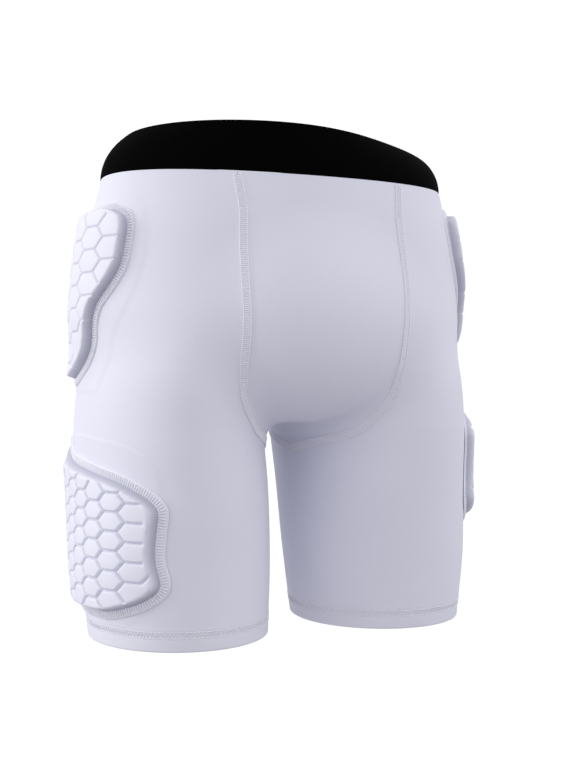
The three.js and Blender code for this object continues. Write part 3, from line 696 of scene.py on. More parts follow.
def pad_outline(pad, step):
    down = np.linspace(0, 1, OUTLINE_POINTS)
    rear = np.stack([read(pad, "rear", down, "down") * pad["width"], -down * pad["height"]], -1)
    fore = np.stack([read(pad, "front", down, "down") * pad["width"], -down * pad["height"]], -1)
    return spread(np.concatenate([rear, fore[::-1]]), step)


def spread(loop, step):
    """The same closed loop with its points spread evenly."""
    ends = np.roll(loop, -1, 0)
    lengths = np.linalg.norm(ends - loop, axis=1)
    reached = np.concatenate([[0], np.cumsum(lengths)])
    goals = np.linspace(0, reached[-1], int(round(reached[-1] / step)) + 1)[:-1]
    closed = np.concatenate([loop, loop[:1]])
    return np.stack([np.interp(goals, reached, closed[:, axis]) for axis in (0, 1)], -1)


def moved_in(loop, distance):
    along = np.roll(loop, -1, 0) - np.roll(loop, 1, 0)
    along /= np.linalg.norm(along, axis=1, keepdims=True)
    return loop + np.stack([-along[:, 1], along[:, 0]], -1) * distance


def smoothed(loop, passes):
    for _ in range(passes):
        loop = (np.roll(loop, 1, 0) + 2 * loop + np.roll(loop, -1, 0)) / 4
    return loop


print("outline points:", [len(pad_outline(pad, FINE_STEP)) for pad in (HIP_PAD, THIGH_PAD)])

# %% [markdown]
# ### Cells
# The cells are stretched hexagons in a honeycomb, and the foam's outline cuts those at the edge. A
# sliver there would look like a fault. So a cut cell smaller than one share of a whole cell joins its
# neighbour, and one smaller than another share has no grooves at all.

# %% Cut polygons and join their corners
WELD = 0.06    # corners of cells nearer than this are one


def clip(polygon, cell):
    """The part of a polygon inside a cell that turns left all the way round."""
    for i in range(len(cell)):
        if not len(polygon):
            break
        a, b = cell[i], cell[(i + 1) % len(cell)]
        side = (b[0] - a[0]) * (polygon[:, 1] - a[1]) - (b[1] - a[1]) * (polygon[:, 0] - a[0])
        kept = []
        for k in range(len(polygon)):
            p, q = polygon[k], polygon[(k + 1) % len(polygon)]
            sp, sq = side[k], side[(k + 1) % len(polygon)]
            if sp >= 0:
                kept.append(p)
            if (sp > 0 > sq) or (sp < 0 < sq):
                kept.append(p + (q - p) * sp / (sp - sq))
        polygon = np.array(kept)
    return polygon


def welded(polygon, corners):
    """The polygon with each corner moved onto an earlier one that it nearly meets, and repeats dropped."""
    places = []
    for point in polygon:
        gaps = [math.dist(point, corner) for corner in corners]
        place = int(np.argmin(gaps)) if gaps and min(gaps) < WELD else len(corners)
        if place == len(corners):
            corners.append(point)
        places.append(place)
    kept = [place for k, place in enumerate(places) if place != places[k - 1]]
    return np.array([corners[place] for place in kept])


def area_of(polygon):
    x, y = polygon[:, 0], polygon[:, 1]
    return abs(np.dot(x, np.roll(y, -1)) - np.dot(y, np.roll(x, -1))) / 2


# %% Cut the foam into cells
FOAM_SMOOTHING = 8
# A cell's corners, across in thirds of a column's width and up in cell heights.
HEXAGON = np.array([[2, 0], [1, 0.5], [-1, 0.5], [-2, 0], [-1, -0.5], [1, -0.5]])
CELL_COLUMNS, CELL_ROWS = range(-8, 9), range(-1, 12)    # enough to cover either pad


def pad_cells(pad):
    foam = smoothed(moved_in(pad_outline(pad, FINE_STEP), pad["flange"]), FOAM_SMOOTHING)
    wide, high = pad["cell_width"], pad["cell_height"]
    cells, corners = [], []
    for i in CELL_COLUMNS:
        for j in CELL_ROWS:
            down = (j + (0.5 if i % 2 else 0)) * high + pad["cell_top"]
            middle = np.array([(i + pad["cell_shift"]) * wide, -down])
            shape = welded(clip(foam, middle + HEXAGON * [wide / 3, high]), corners)
            if len(shape) > 2:
                cells.append({"shape": shape, "area": area_of(shape)})
    return foam, cells


for pad in (HIP_PAD, THIGH_PAD):
    pad["foam"], pad["cells"] = pad_cells(pad)
    print("cells:", len(pad["cells"]), "largest", round(max(cell["area"] for cell in pad["cells"])), "mm2")

# %% Find the grooves, which run between cells that are not joined
MERGE_BELOW, MELT_BELOW = 0.45, 0.3


def shared_edges(cells):
    """Edges that two cells share. Each is given twice, as the cell and its two corners."""
    shared = {}
    for k, cell in enumerate(cells):
        for p, q in zip(cell["shape"], np.roll(cell["shape"], -1, 0)):
            shared.setdefault(tuple(np.round((p + q) / 2, 1)), []).append((k, p, q))
    return [uses for uses in shared.values() if len(uses) == 2]


def groove_segments(cells, full_area):
    edges = shared_edges(cells)
    areas = [cell["area"] for cell in cells]
    group = list(range(len(cells)))
    for k in sorted(group, key=lambda k: areas[k]):
        if areas[k] > MERGE_BELOW * full_area:
            break
        best, longest = None, 0.0
        for first, second in edges:
            if k not in (first[0], second[0]) or first[0] == second[0]:
                continue
            other = first[0] if second[0] == k else second[0]
            length = np.linalg.norm(first[1] - first[2])
            if length > longest and areas[other] >= areas[k]:
                best, longest = other, length
        if best is not None:
            group[k] = group[best]
    segments = []
    for first, second in edges:
        smaller = min(areas[first[0]], areas[second[0]])
        if group[first[0]] != group[second[0]] and smaller > MELT_BELOW * full_area:
            segments.append([first[1], first[2]])
    return np.array(segments)


for pad in (HIP_PAD, THIGH_PAD):
    pad["grooves"] = groove_segments(pad["cells"], pad["cell_width"] * pad["cell_height"])
    print("pieces of groove:", len(pad["grooves"]))

# %% [markdown]
# ### Height of the foam
# The foam's wall slants up from the rim and rounds into the flat top. Each cell swells a little like
# a pillow, and the grooves fade out on the wall. One formula of a point's distances to the wall and
# to the nearest groove gives all that, and also a painted shade that darkens the wall and the grooves,
# where shade falls on them.

# %% Work out the foam's height
FLANGE_WALL, FOAM_HEIGHT = 1.2, 10.0
# The wall's height at its foot and its shoulder, and the width of the rounding from there to the top.
WALL_FOOT, WALL_SHOULDER, WALL_ROUND = 2.2, 9.4, 1.3
GROOVE_END = 0.7      # grooves end at this share of the wall's slope
# The grooves get painted shade too, at this share of the wall's.
GROOVE_PAINTED_SHADE = 0.32   # how dark the grooves are, as a share of how dark the wall is
PILLOW, PILLOW_REACH = 0.5, 3.5


def distance_to(points, segments):
    nearest = np.full(len(points), np.inf)
    for a, b in segments:
        along = b - a
        t = np.clip(((points - a) @ along) / (along @ along), 0, 1)
        nearest = np.minimum(nearest, np.linalg.norm(points - a - t[:, None] * along, axis=1))
    return nearest


def foam_top(points, pad):
    """The foam's height at flat points, and the painted shade that darkens its wall and grooves there."""
    from_wall = distance_to(points, np.stack([pad["foam"], np.roll(pad["foam"], -1, 0)], 1))
    from_groove = distance_to(points, pad["grooves"])
    from_ease = np.linalg.norm(points - np.array(pad["ease_at"]), axis=1) / pad["ease_reach"]
    up_wall = from_wall / (1 + (pad["ease_times"] - 1) * np.exp(-from_ease * from_ease))
    slope = [0, pad["slant"], pad["slant"] + WALL_ROUND]
    top = np.interp(up_wall, slope, [WALL_FOOT, WALL_SHOULDER, FOAM_HEIGHT])
    on_top = np.clip((top - WALL_FOOT) / (FOAM_HEIGHT - WALL_FOOT), 0, 1)
    fade_from = pad["slant"] * GROOVE_END
    fade = np.clip((up_wall - fade_from) / (slope[-1] - fade_from), 0, 1)
    groove = (1 - eased(from_groove / pad["groove_half"])) * fade
    pillow = PILLOW * (1 - np.exp(-np.minimum(from_wall, from_groove) / PILLOW_REACH)) - PILLOW
    # The second value is painted shade, full on the wall and weaker in the grooves, where shade falls.
    return top - groove * pad["groove_depth"] + pillow, np.maximum(groove * GROOVE_PAINTED_SHADE, 1 - on_top**2)


for pad in (HIP_PAD, THIGH_PAD):
    middles = np.array([cell["shape"].mean(0) for cell in pad["cells"]])
    print("highest cell:", round(float(foam_top(middles, pad)[0].max()), 2), "mm")

# %% [markdown]
# ### From cells to a closed pad
# Each cell is filled with rings of faces round its middle, close together near the edge where the
# height changes fast. A skirt of narrow strips then leads from the foam's edge over the rim and back
# under it, and flat fans close the pad from below. The result is one closed body of foam.

# %% Mesh the cells, and find the foam's edge
RINGS = np.array([0, 0.05, 0.10, 0.15, 0.20, 0.26, 0.33, 0.41, 0.50, 0.62, 0.76, 0.90])
KEY_SHIFT = 0.0037    # keeps round numbers away from where a key would change


def densify(polygon, step):
    points = []
    for p, q in zip(polygon, np.roll(polygon, -1, 0)):
        count = max(int(math.ceil(np.linalg.norm(q - p) / step)), 1)
        points.extend(p + (q - p) * k / count for k in range(count))
    return np.array(points)


def fans(loops, shares):
    """Each loop filled with rings at shares of the way to its middle: flat points and faces."""
    points, faces, count = [], [], 0
    for loop in loops:
        centre, size = loop.mean(0), len(loop)
        rings = loop + (centre - loop) * shares[:, None, None]
        points.append(np.concatenate([rings.reshape(-1, 2), centre[None]]))
        following = np.roll(np.arange(size), -1)
        for r in range(len(shares) - 1):
            low, high = count + r * size, count + (r + 1) * size
            faces.extend([low + k, low + n, high + n, high + k] for k, n in enumerate(following))
        last, tip = count + (len(shares) - 1) * size, count + len(shares) * size
        faces.extend([last + k, last + n, tip] for k, n in enumerate(following))
        count = tip + 1
    return np.concatenate(points), faces


def edge_keys(loop):
    """A key for each edge of a loop, the same from both of its sides."""
    middles = (loop + np.roll(loop, -1, 0)) / 2
    return [tuple(middle) for middle in np.round(middles + KEY_SHIFT, 2).tolist()]


def foam_edge(loops):
    """Both ends of each edge that only one cell owns, one after the other."""
    owners = Counter(key for loop in loops for key in edge_keys(loop))
    ends = []
    for loop in loops:
        for k, key in enumerate(edge_keys(loop)):
            if owners[key] == 1:
                ends.extend([loop[k], loop[(k + 1) % len(loop)]])
    return np.array(ends)


# %% The skirt, and where the rim faces the foam
RIM_TURN = 0.12    # how far the rim's edge turns down onto the cloth
# Shares of the way from the foam's edge to the rim's edge, each with its height and how much of the
# foam's own height it keeps. The wall leans out a little, and the rim has a rounded edge.
SKIRT = [
    (0.0, 0.0, 1.0),
    (0.03, 0.0, 0.78),
    (0.08, FLANGE_WALL + 0.15, 0.0),
    (0.20, FLANGE_WALL, 0.0),
    (0.50, FLANGE_WALL, 0.0),
    (0.88, FLANGE_WALL, 0.0),
    (0.96, FLANGE_WALL * 0.75, 0.0),
    (1.0, FLANGE_WALL * 0.2, 0.0),
    (1.0, -RIM_TURN, 0.0),
    (0.90, -RIM_TURN, 0.0),
    (0.50, 0.0, 0.0),
    (0.0, 0.0, 0.0),
]


def matching_rim(points, foam, rim):
    """The place on the rim's edge that faces each point of the foam's edge."""
    best = np.full(len(points), np.inf)
    found = np.zeros_like(points)
    for k in range(len(foam)):
        n = (k + 1) % len(foam)
        along = foam[n] - foam[k]
        t = np.clip(((points - foam[k]) @ along) / (along @ along), 0, 1)[:, None]
        away = np.linalg.norm(points - foam[k] - t * along, axis=1)
        nearer = away < best
        best = np.where(nearer, away, best)
        found = np.where(nearer[:, None], rim[k] + t * (rim[n] - rim[k]), found)
    return found


# %% Build the pads
PAD_MERGE = 3e-5    # in metres


def build_pad(name, place):
    pad = place["pad"]
    loops = [densify(cell["shape"], FINE_STEP) for cell in pad["cells"]]
    flat, faces = fans(loops, RINGS)
    height, shade = foam_top(flat, pad)

    ends = foam_edge(loops)
    facing = matching_rim(ends, pad["foam"], pad_outline(pad, FINE_STEP))
    edge_height, edge_shade = foam_top(ends, pad)
    for step, (share, lift, keep) in enumerate(SKIRT):
        high = len(flat)
        low = high - len(ends)
        flat = np.concatenate([flat, ends + (facing - ends) * share])
        height = np.concatenate([height, lift + edge_height * keep])
        shade = np.concatenate([shade, edge_shade * keep])
        if step:
            faces.extend([high + k, high + k + 1, low + k + 1, low + k] for k in range(0, len(ends), 2))

    under, under_faces = fans(loops, np.zeros(1))
    base = len(flat)
    faces.extend([base + b, base + a, base + tip] for a, b, tip in under_faces)
    flat = np.concatenate([flat, under])
    height = np.concatenate([height, np.zeros(len(under))])
    shade = np.concatenate([shade, np.zeros(len(under))])
    piece = make_object(name, offset(on_pad(place, flat), LAYER_GAP + height), faces, flat)
    # The attribute named groove carries the painted shade of the foam's wall and grooves to the finish.
    painted_shade_attribute = piece.data.attributes.new("groove", "FLOAT", "POINT")
    painted_shade_attribute.data.foreach_set("value", shade.astype(np.float32))
    return close_up(piece, merge=PAD_MERGE)


pads = {node: build_pad(node.replace("_pad", "_foam"), place) for node, place in PADS.items()}
for node, piece in pads.items():
    print(node, "faces:", len(piece.data.polygons))

# %% [markdown]
# ## Colours and finishes
# Every colour is written as it is seen on a screen and turned to linear light by one function. One
# small function adds a shader node with its settings and links, so each finish reads as a short list.

# %% Colours
def linear(hex_colour):
    channels = [int(hex_colour[k:k + 2], 16) / 255 for k in (1, 3, 5)]
    return tuple(c / 12.92 if c <= 0.04045 else ((c + 0.055) / 1.055) ** 2.4 for c in channels) + (1.0,)


print("a mid grey in linear light:", round(linear("#808080")[0], 3))

# %% Node helpers
BUMP_HEIGHT = 0.0002    # in metres


def add(tree, kind, inputs=None, **settings):
    node = tree.nodes.new(kind)
    for name, value in settings.items():
        setattr(node, name, value)
    for name, value in (inputs or {}).items():
        socket = node.inputs[name]
        if isinstance(value, bpy.types.NodeSocket):
            tree.links.new(value, socket)
        else:
            socket.default_value = value
    return node


def maths(tree, operation, *values):
    return add(tree, "ShaderNodeMath", dict(enumerate(values)), operation=operation).outputs[0]


def wave(tree, along, period):
    return maths(tree, "SINE", maths(tree, "MULTIPLY", along, 2 * math.pi / period))


def noise(tree, place, scale, detail):
    inputs = {"Vector": place.outputs["Object"], "Scale": scale, "Detail": detail}
    return add(tree, "ShaderNodeTexNoise", inputs).outputs["Fac"]


def mixed(tree, share, first, second):
    inputs = {"Factor": share, "A": linear(first), "B": linear(second)}
    return add(tree, "ShaderNodeMix", inputs, data_type="RGBA").outputs["Result"]


def bumped(tree, height, strength):
    inputs = {"Strength": strength, "Distance": BUMP_HEIGHT, "Height": height}
    return add(tree, "ShaderNodeBump", inputs).outputs["Normal"]


def new_finish(name):
    finish = bpy.data.materials.new(name)
    finish.use_nodes = True
    finish.node_tree.nodes.clear()
    return finish, finish.node_tree


# %% [markdown]
# ### Compression knit
# The cloth is a warp knit of nylon and elastane: fine ribs, or wales, about half a millimetre apart,
# with a dull, slightly silky face. Real wales are too fine for the picture, so they are drawn about
# three times as coarse and very shallow. A slow change of tone stands for the uneven stretch.

# %% Knit finish
WALE_MM = 1.6


def knit(name, light, shade, roughness):
    finish, tree = new_finish(name)
    flat = add(tree, "ShaderNodeUVMap", uv_map="flat")
    split = add(tree, "ShaderNodeSeparateXYZ", {"Vector": flat.outputs["UV"]})
    place = add(tree, "ShaderNodeTexCoord")
    stretch = {"Value": noise(tree, place, scale=9.0, detail=2.0), "From Min": 0.3, "From Max": 0.7}
    tone = add(tree, "ShaderNodeMapRange", stretch)
    colour = mixed(tree, tone.outputs["Result"], shade, light)
    fuzz = noise(tree, place, scale=1400.0, detail=1.0)
    height = maths(tree, "MULTIPLY_ADD", fuzz, 0.8, wave(tree, split.outputs["X"], WALE_MM))
    shader = add(
        tree,
        "ShaderNodeBsdfPrincipled",
        {
            "Base Color": colour,
            "Roughness": roughness,
            "IOR": 1.45,
            "Specular IOR Level": 0.3,
            "Sheen Weight": 0.12,
            "Sheen Roughness": 0.5,
            "Normal": bumped(tree, height, 0.10),
        },
    )
    add(tree, "ShaderNodeOutputMaterial", {"Surface": shader.outputs["BSDF"]})
    return finish


compression_knit = knit("warp_knit_nylon_elastane", "#EEEEF8", "#EAEAF5", 0.62)
hem_knit = knit("turned_hem_knit", "#EEEEF7", "#E9E9F3", 0.66)
print("knit nodes:", len(compression_knit.node_tree.nodes))

# %% [markdown]
# ### Moulded pad skin
# The pads wear a smoother skin, heated and pressed over the foam, with a soft satin face. Its colour
# also carries painted shade: an attribute of the foam darkens the wall and grooves, where shade falls.

# %% Pad finish
def pad_skin(name):
    finish, tree = new_finish(name)
    # This attribute is the painted shade of the foam's wall and grooves.
    depth = add(tree, "ShaderNodeAttribute", attribute_name="groove")
    place = add(tree, "ShaderNodeTexCoord")
    grain = noise(tree, place, scale=1100.0, detail=2.0)
    shader = add(
        tree,
        "ShaderNodeBsdfPrincipled",
        {
            # The second colour is the painted shade, reached on the foam's wall.
            "Base Color": mixed(tree, depth.outputs["Fac"], "#F1F1FB", "#BFBFCE"),
            "Roughness": 0.5,
            "IOR": 1.45,
            "Specular IOR Level": 0.35,
            "Sheen Weight": 0.08,
            "Sheen Roughness": 0.5,
            "Normal": bumped(tree, grain, 0.10),
        },
    )
    add(tree, "ShaderNodeOutputMaterial", {"Surface": shader.outputs["BSDF"]})
    return finish


moulded_skin = pad_skin("polyester_skin_with_painted_shade")
print("pad skin nodes:", len(moulded_skin.node_tree.nodes))

# %% [markdown]
# ### Woven elastic
# The waistband is a black woven elastic: rubber threads under a polyester weave, which shows as fine
# ribs along the band. It swallows light, so only the ribs' edges catch a little.

# %% Elastic finish
RIB_MM = 1.5


def woven_elastic(name):
    finish, tree = new_finish(name)
    flat = add(tree, "ShaderNodeUVMap", uv_map="flat")
    split = add(tree, "ShaderNodeSeparateXYZ", {"Vector": flat.outputs["UV"]})
    ribs = wave(tree, split.outputs["Y"], RIB_MM)
    picks = wave(tree, split.outputs["X"], RIB_MM)
    weave = maths(tree, "MULTIPLY_ADD", picks, 0.4, ribs)
    tone = add(tree, "ShaderNodeMapRange", {"Value": weave, "From Min": -1.4, "From Max": 1.4})
    shader = add(
        tree,
        "ShaderNodeBsdfPrincipled",
        {
            "Base Color": mixed(tree, tone.outputs["Result"], "#010102", "#060607"),
            "Roughness": 0.9,
            "IOR": 1.45,
            "Specular IOR Level": 0.03,
            "Normal": bumped(tree, weave, 0.35),
        },
    )
    add(tree, "ShaderNodeOutputMaterial", {"Surface": shader.outputs["BSDF"]})
    return finish


black_elastic = woven_elastic("black_woven_elastic")
print("elastic nodes:", len(black_elastic.node_tree.nodes))

# %% [markdown]
# ### Sewing thread
# The thread is textured polyester, soft and a touch whiter than the cloth, so stitches stand out
# mostly by their own small shadows.

# %% Thread finish
def sewing_thread(name, colour):
    finish, tree = new_finish(name)
    place = add(tree, "ShaderNodeTexCoord")
    tone = mixed(tree, noise(tree, place, scale=2500.0, detail=1.0), colour, "#FCFCFF")
    shader = add(
        tree,
        "ShaderNodeBsdfPrincipled",
        {"Base Color": tone, "Roughness": 0.55, "IOR": 1.5, "Sheen Weight": 0.1},
    )
    add(tree, "ShaderNodeOutputMaterial", {"Surface": shader.outputs["BSDF"]})
    return finish


white_thread = sewing_thread("textured_polyester_thread", "#F6F6FE")
print("thread nodes:", len(white_thread.node_tree.nodes))

# %% [markdown]
# ## Stitches
# A stitch is one small thread bridge, repeated at an even pitch along a path that lies on the cloth.
# Placing thousands by hand would be hopeless, and a picture would not catch the light, so Geometry
# Nodes walk along each path and set one bridge at every step, turned to the path and to the cloth.

# %% One thread bridge
def thread_bridge(tree, given):
    """A low arch of thread from one side of a path to the other, or along it."""
    far_across = maths(tree, "MULTIPLY", given["Across"], 0.5)
    far_along = maths(tree, "MULTIPLY", given["Along"], 0.5)
    near_across = maths(tree, "MULTIPLY", given["Across"], -0.5)
    near_along = maths(tree, "MULTIPLY", given["Along"], -0.5)
    start = add(tree, "ShaderNodeCombineXYZ", {"X": near_along, "Y": near_across})
    middle = add(tree, "ShaderNodeCombineXYZ", {"Z": maths(tree, "MULTIPLY", given["Rise"], 2.0)})
    end = add(tree, "ShaderNodeCombineXYZ", {"X": far_along, "Y": far_across})
    arch = add(
        tree,
        "GeometryNodeCurveQuadraticBezier",
        {"Resolution": 4, "Start": start.outputs[0], "Middle": middle.outputs[0], "End": end.outputs[0]},
    )
    radius = maths(tree, "MULTIPLY", given["Thread"], 0.5)
    ring = add(tree, "GeometryNodeCurvePrimitiveCircle", {"Resolution": 5, "Radius": radius})
    return add(
        tree,
        "GeometryNodeCurveToMesh",
        {"Curve": arch.outputs["Curve"], "Profile Curve": ring.outputs["Curve"], "Fill Caps": True},
    )


# %% Build the stitch tree
def stitch_tree(material):
    tree = bpy.data.node_groups.new("stitches_along_a_path", "GeometryNodeTree")
    face = tree.interface
    face.new_socket("Geometry", in_out="INPUT", socket_type="NodeSocketGeometry")
    sizes = {"Pitch": 0.0016, "Across": 0.006, "Along": 0.0, "Thread": 0.0006, "Rise": 0.0004, "Zigzag": 0.0}
    for name, value in sizes.items():
        face.new_socket(name, in_out="INPUT", socket_type="NodeSocketFloat").default_value = value
    face.new_socket("Geometry", in_out="OUTPUT", socket_type="NodeSocketGeometry")
    given = add(tree, "NodeGroupInput").outputs
    line = add(tree, "GeometryNodeMeshToCurve", {"Mesh": given["Geometry"]})
    steps = add(
        tree,
        "GeometryNodeResampleCurve",
        {"Curve": line.outputs["Curve"], "Length": given["Pitch"]},
        mode="LENGTH",
    )
    bridge = thread_bridge(tree, given)
    up = add(tree, "GeometryNodeInputNamedAttribute", {"Name": "up"}, data_type="FLOAT_VECTOR")
    tangent = add(tree, "GeometryNodeInputTangent")
    turned = add(
        tree,
        "FunctionNodeAxesToRotation",
        {"Primary Axis": up.outputs["Attribute"], "Secondary Axis": tangent.outputs["Tangent"]},
        primary_axis="Z",
        secondary_axis="X",
    )
    index = add(tree, "GeometryNodeInputIndex")
    odd = maths(tree, "MODULO", index.outputs["Index"], 2.0)
    swing = maths(tree, "MULTIPLY", maths(tree, "MULTIPLY_ADD", odd, 2.0, -1.0), given["Zigzag"])
    lean = add(tree, "FunctionNodeAxisAngleToRotation", {"Axis": (0.0, 0.0, 1.0), "Angle": swing})
    whole_turn = add(
        tree,
        "FunctionNodeRotateRotation",
        {"Rotation": turned.outputs["Rotation"], "Rotate By": lean.outputs["Rotation"]},
        rotation_space="LOCAL",
    )
    row = add(
        tree,
        "GeometryNodeInstanceOnPoints",
        {
            "Points": steps.outputs["Curve"],
            "Instance": bridge.outputs["Mesh"],
            "Rotation": whole_turn.outputs["Rotation"],
        },
    )
    real = add(tree, "GeometryNodeRealizeInstances", {"Geometry": row.outputs["Instances"]})
    soft = add(tree, "GeometryNodeSetShadeSmooth", {"Geometry": real.outputs["Geometry"]})
    given_finish = {"Geometry": soft.outputs["Geometry"], "Material": material}
    dressed = add(tree, "GeometryNodeSetMaterial", given_finish)
    add(tree, "NodeGroupOutput", {"Geometry": dressed.outputs["Geometry"]})
    return tree


stitches = stitch_tree(white_thread)
inputs = {item.name: item.identifier for item in stitches.interface.items_tree if item.in_out == "INPUT"}
print("stitch tree inputs:", sorted(inputs))


# %% Lay paths on the cloth and sew along them
def sideways(points):
    """Across an open path, along the form."""
    along = np.gradient(points, axis=0)
    along /= np.linalg.norm(along, axis=1, keepdims=True)
    return np.cross(normal_at(points), along)


def sew(name, paths, **sizes):
    """Stitches along several paths as one object. A path has points and normals, and may be closed."""
    points, edges, ups, count = [], [], [], 0
    for path, normals, closed in paths:
        size = len(path)
        points.append(path)
        ups.append(normals)
        edges.extend([count + k, count + k + 1] for k in range(size - 1))
        if closed:
            edges.append([count + size - 1, count])
        count += size
    mesh = bpy.data.meshes.new(name)
    mesh.from_pydata((np.concatenate(points) / 1000).tolist(), edges, [])
    up = mesh.attributes.new("up", "FLOAT_VECTOR", "POINT")
    up.data.foreach_set("vector", np.concatenate(ups).astype(np.float32).ravel())
    line = bpy.data.objects.new(name + "_path", mesh)
    scene.collection.objects.link(line)
    modifier = line.modifiers.new("stitches", "NODES")
    modifier.node_group = stitches
    for key, value in sizes.items():
        modifier[inputs[key.capitalize()]] = float(value)
    made = bpy.data.meshes.new_from_object(line.evaluated_get(bpy.context.evaluated_depsgraph_get()))
    bpy.data.objects.remove(line)
    piece = bpy.data.objects.new(name, made)
    scene.collection.objects.link(piece)
    print(name, "faces:", len(made.polygons))
    return piece


def path_on(points, lift, closed=False, shift=0.0):
    """A path lifted off the form and slid sideways along it, in millimetres."""
    if shift:
        points = settle(points + sideways(points) * shift)
    normals = normal_at(points)
    return points + normals * lift, normals, closed


# %% [markdown]
# ### Seam tapes
# A flatlock seam lies as a flat raised tape with needle rows at its edges. Stitches alone would float
# over the gap between two pieces of cloth, so a thin ribbon with rounded edges goes under them.

# %% Lay a ribbon along a path
TAPE_WIDTH, TAPE_HEIGHT = 6.4, 0.55
# Half round edges and a flat top, as shares of the width and the height.
TAPE_SHAPE = np.array([
    [-0.5, -0.1], [-0.5, 0.55], [-0.44, 0.92], [-0.2, 1.0],
    [0.2, 1.0], [0.44, 0.92], [0.5, 0.55], [0.5, -0.1],
])
PATH_STEP = 2.0


def seam_tape(name, path):
    across = TAPE_SHAPE[:, 0] * TAPE_WIDTH
    raised = TAPE_SHAPE[:, 1] * TAPE_HEIGHT
    rows = path[:, None] + sideways(path)[:, None] * across[:, None]
    rows = rows + normal_at(path)[:, None] * raised[:, None]
    count, size = rows.shape[:2]
    along = np.arange(count)[:, None] * PATH_STEP
    flat = np.stack([np.broadcast_to(across, (count, size)), np.broadcast_to(along, (count, size))], -1)
    index = np.arange(count * size).reshape(count, size)
    wrapped = np.concatenate([index, index[:, :1]], 1)
    corners = [wrapped[:-1, :-1], wrapped[1:, :-1], wrapped[1:, 1:], wrapped[:-1, 1:]]
    faces = [*np.stack(corners, -1).reshape(-1, 4), index[0], index[-1, ::-1]]
    return close_up(make_object(name, rows.reshape(-1, 3), faces, flat.reshape(-1, 2)))


# %% Find the seams' paths and tape them
BACK_POINTS, BACK_TOP = 90, 0.004


def centre_back_path():
    levels = np.linspace(BACK_TOP, GUSSET_TAIL, BACK_POINTS)
    start = np.stack([np.zeros(BACK_POINTS), np.zeros(BACK_POINTS), height_at(levels)], -1)
    return come_out(start, np.array([0.0, 1.0, 0.0]))


def even_path(points):
    lengths = np.linalg.norm(np.diff(points, axis=0), axis=1)
    reached = np.concatenate([[0], np.cumsum(lengths)])
    goals = np.linspace(0, reached[-1], int(reached[-1] / PATH_STEP) + 1)
    return np.stack([np.interp(goals, reached, points[:, axis]) for axis in range(3)], -1)


seams = {}
for word, side in (("right", -1), ("left", 1)):
    seams[word] = settle(even_path(seam_path(side)[1:]))
seams["back"] = settle(even_path(centre_back_path()))
tapes = {word: seam_tape(f"{word}_seam_tape", path) for word, path in seams.items()}
print("points on the seams:", {word: len(path) for word, path in seams.items()})

# %% [markdown]
# ### Stitches of the seams
# A flatlock machine works two needle rows at the edges of the tape, and covers it with cross threads.
# From here on the sizes of stitches are in metres, because the nodes use Blender's own unit.

# %% Sew the seams
ROW_LIFT, ROW_SHIFT = TAPE_HEIGHT * 0.85, 2.9
seam_bridges = sew(
    "flatlock_cross_stitches",
    [path_on(path, TAPE_HEIGHT) for path in seams.values()],
    pitch=0.0015, across=0.0052, thread=0.0007, rise=0.0002,
)
seam_rows = sew(
    "flatlock_needle_rows",
    [path_on(path, ROW_LIFT, shift=shift) for path in seams.values() for shift in (-ROW_SHIFT, ROW_SHIFT)],
    pitch=0.0028, across=0.0, along=0.0027, thread=0.0009, rise=0.0003,
)

# %% [markdown]
# ### Stitches of the hems
# A coverstitch has two needle rows on the face, and a looper thread that swings between them. It sits
# in the shallow channel that it pulls into the hem.

# %% Sew the hems
RING_POINTS = 240
NEEDLE_ROWS, LOOPER_ROW = (2.7, 7.3), 5.0    # how far below the hem's top
CHANNEL_FACE = HEM_PROUD - CHANNEL_DEPTH
NEEDLE_LIFT, LOOPER_LIFT = 0.2, 0.1


def hem_ring(side, down):
    turn = np.linspace(0, 360, RING_POINTS + 1)[:-1]
    z = HEM + HEM_HEIGHT - down
    return around_axis(float(leg_section(z)["x"]), z, turn, side)


hem_rows = sew(
    "hem_needle_rows",
    [path_on(hem_ring(side, down), CHANNEL_FACE + NEEDLE_LIFT, True)
     for side in (-1, 1) for down in NEEDLE_ROWS],
    pitch=0.003, across=0.0, along=0.0024, thread=0.0006, rise=0.0003,
)
hem_loops = sew(
    "hem_looper_threads",
    [path_on(hem_ring(side, LOOPER_ROW), CHANNEL_FACE + LOOPER_LIFT, True) for side in (-1, 1)],
    pitch=0.0014, across=0.0044, thread=0.00045, rise=0.0002, zigzag=0.5,
)

# %% [markdown]
# ### Stitches of the pads
# Each pad's rim is sewn down by a wide ladder stitch, which shows clearly as a row of short bars from
# the foam's edge outwards. It gets the thickest thread.

# %% Sew the pads' rims
ladders = []
for node, place in PADS.items():
    pad = place["pad"]
    loop = on_pad(place, moved_in(pad_outline(pad, PATH_STEP), pad["flange"] - pad["ladder"] / 2))
    ladders.append(
        sew(
            node.replace("_pad", "_ladder_stitches"),
            [path_on(loop, LAYER_GAP + FLANGE_WALL, True)],
            pitch=0.0022, across=pad["ladder"] / 1000, thread=0.0013, rise=0.0005,
        )
    )

# %% [markdown]
# ## Put everything together
# Each piece gets its finish and is tied to the frame, and the frame's piece that it stands for, if any,
# is hidden.

# %% Give each piece its finish and tie it to the frame
def dress(piece, finish, slot, *stands_for):
    if finish is not None:
        piece.data.materials.clear()
        piece.data.materials.append(finish)
    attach(piece, "root" if "root" in frame["bodies"] else next(iter(frame["bodies"])))
    if stands_for:
        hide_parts(*stands_for)


dress(elastic, black_elastic, "black_elastic", "waistband")
dress(front, compression_knit, "white_knit", "front_panel")
for word in ("right", "left"):
    dress(side_panels[word], compression_knit, "white_knit", f"{word}_leg_panel")
    dress(hems[word], hem_knit, "white_hem", f"{word}_hem")
for node, piece in pads.items():
    dress(piece, moulded_skin, "pad_foam", node)
for piece in tapes.values():
    dress(piece, hem_knit, "white_knit")
for piece in (seam_bridges, seam_rows, hem_rows, hem_loops, *ladders):
    dress(piece, None, "white_knit")

finishes = (compression_knit, hem_knit, moulded_skin, black_elastic, white_thread)
print("uses of each finish:", {finish.name: finish.users for finish in finishes})
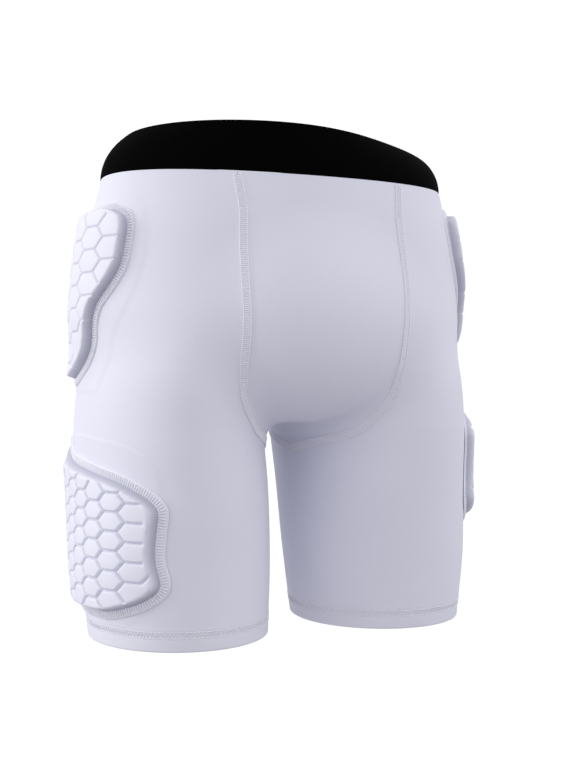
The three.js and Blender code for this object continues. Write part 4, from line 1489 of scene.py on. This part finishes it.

# %% [markdown]


# %% [markdown]
# ## Light and background
# White goods on a white page want light from all round, so that no shadow turns dark. A bright
# surround does most of it. A large key at the left, a little behind the shorts, brightens their near
# side, and a weak light at the right front lifts the far one. The camera sees the floor and the
# surround as plain white, while the cloth is lit by a floor of pale paper well below it.

# %% Floor
FLOOR_LEVEL, FLOOR_REACH = -750.0, 12000.0
PAGE_WHITE = 1.05    # a little over white, so that the page has no tone at all
square = [(-1, -1), (1, -1), (1, 1), (-1, 1)]
floor_corners = [(x * FLOOR_REACH, y * FLOOR_REACH, FLOOR_LEVEL) for x, y in square]
floor = make_object("floor", floor_corners, [[0, 1, 2, 3]])
floor_finish, tree = new_finish("pale_paper_floor")
path = add(tree, "ShaderNodeLightPath")
paper = add(tree, "ShaderNodeBsdfDiffuse", {"Color": linear("#A6A6AC")})
white = add(tree, "ShaderNodeEmission", {"Color": (1, 1, 1, 1), "Strength": PAGE_WHITE})
choice = {"Fac": path.outputs["Is Camera Ray"], 1: paper.outputs[0], 2: white.outputs[0]}
seen = add(tree, "ShaderNodeMixShader", choice)
add(tree, "ShaderNodeOutputMaterial", {"Surface": seen.outputs[0]})
floor.data.materials.append(floor_finish)
print("floor at", FLOOR_LEVEL, "mm")

# %% Surround
SURROUND = 0.91
scene.world = bpy.data.worlds.new("white_surround")
scene.world.use_nodes = True
tree = scene.world.node_tree
tree.nodes.clear()
path = add(tree, "ShaderNodeLightPath")
fill = add(tree, "ShaderNodeBackground", {"Color": linear("#FAFAFF"), "Strength": SURROUND})
page = add(tree, "ShaderNodeBackground", {"Color": (1, 1, 1, 1), "Strength": PAGE_WHITE})
choice = {"Fac": path.outputs["Is Camera Ray"], 1: fill.outputs[0], 2: page.outputs[0]}
seen = add(tree, "ShaderNodeMixShader", choice)
add(tree, "ShaderNodeOutputWorld", {"Surface": seen.outputs[0]})
print("surround strength:", SURROUND)

# %% Lights
LIT_PLACE = (0, 0, -0.18)    # the middle of the shorts, in metres


def soft_light(name, place, size, power):
    light = bpy.data.lights.new(name, "AREA")
    light.shape = "RECTANGLE"
    light.size, light.size_y = size
    light.energy = power
    lamp = bpy.data.objects.new(name, light)
    scene.collection.objects.link(lamp)
    lamp.location = place
    back = np.array(place) - np.array(LIT_PLACE)
    yaw = math.atan2(back[0], -back[1])
    pitch = math.atan2(back[2], math.hypot(back[0], back[1]))
    lamp.rotation_euler = (math.pi / 2 - pitch, 0, yaw)
    print(name, "light:", power, "watts")


soft_light("key", (-2.1, 0.65, 0.3), (1.2, 1.8), 20)
soft_light("kick", (1.9, -0.5, 0.4), (1.0, 1.6), 5)
scene.view_settings.view_transform = "Standard"
scene.view_settings.look = "None"
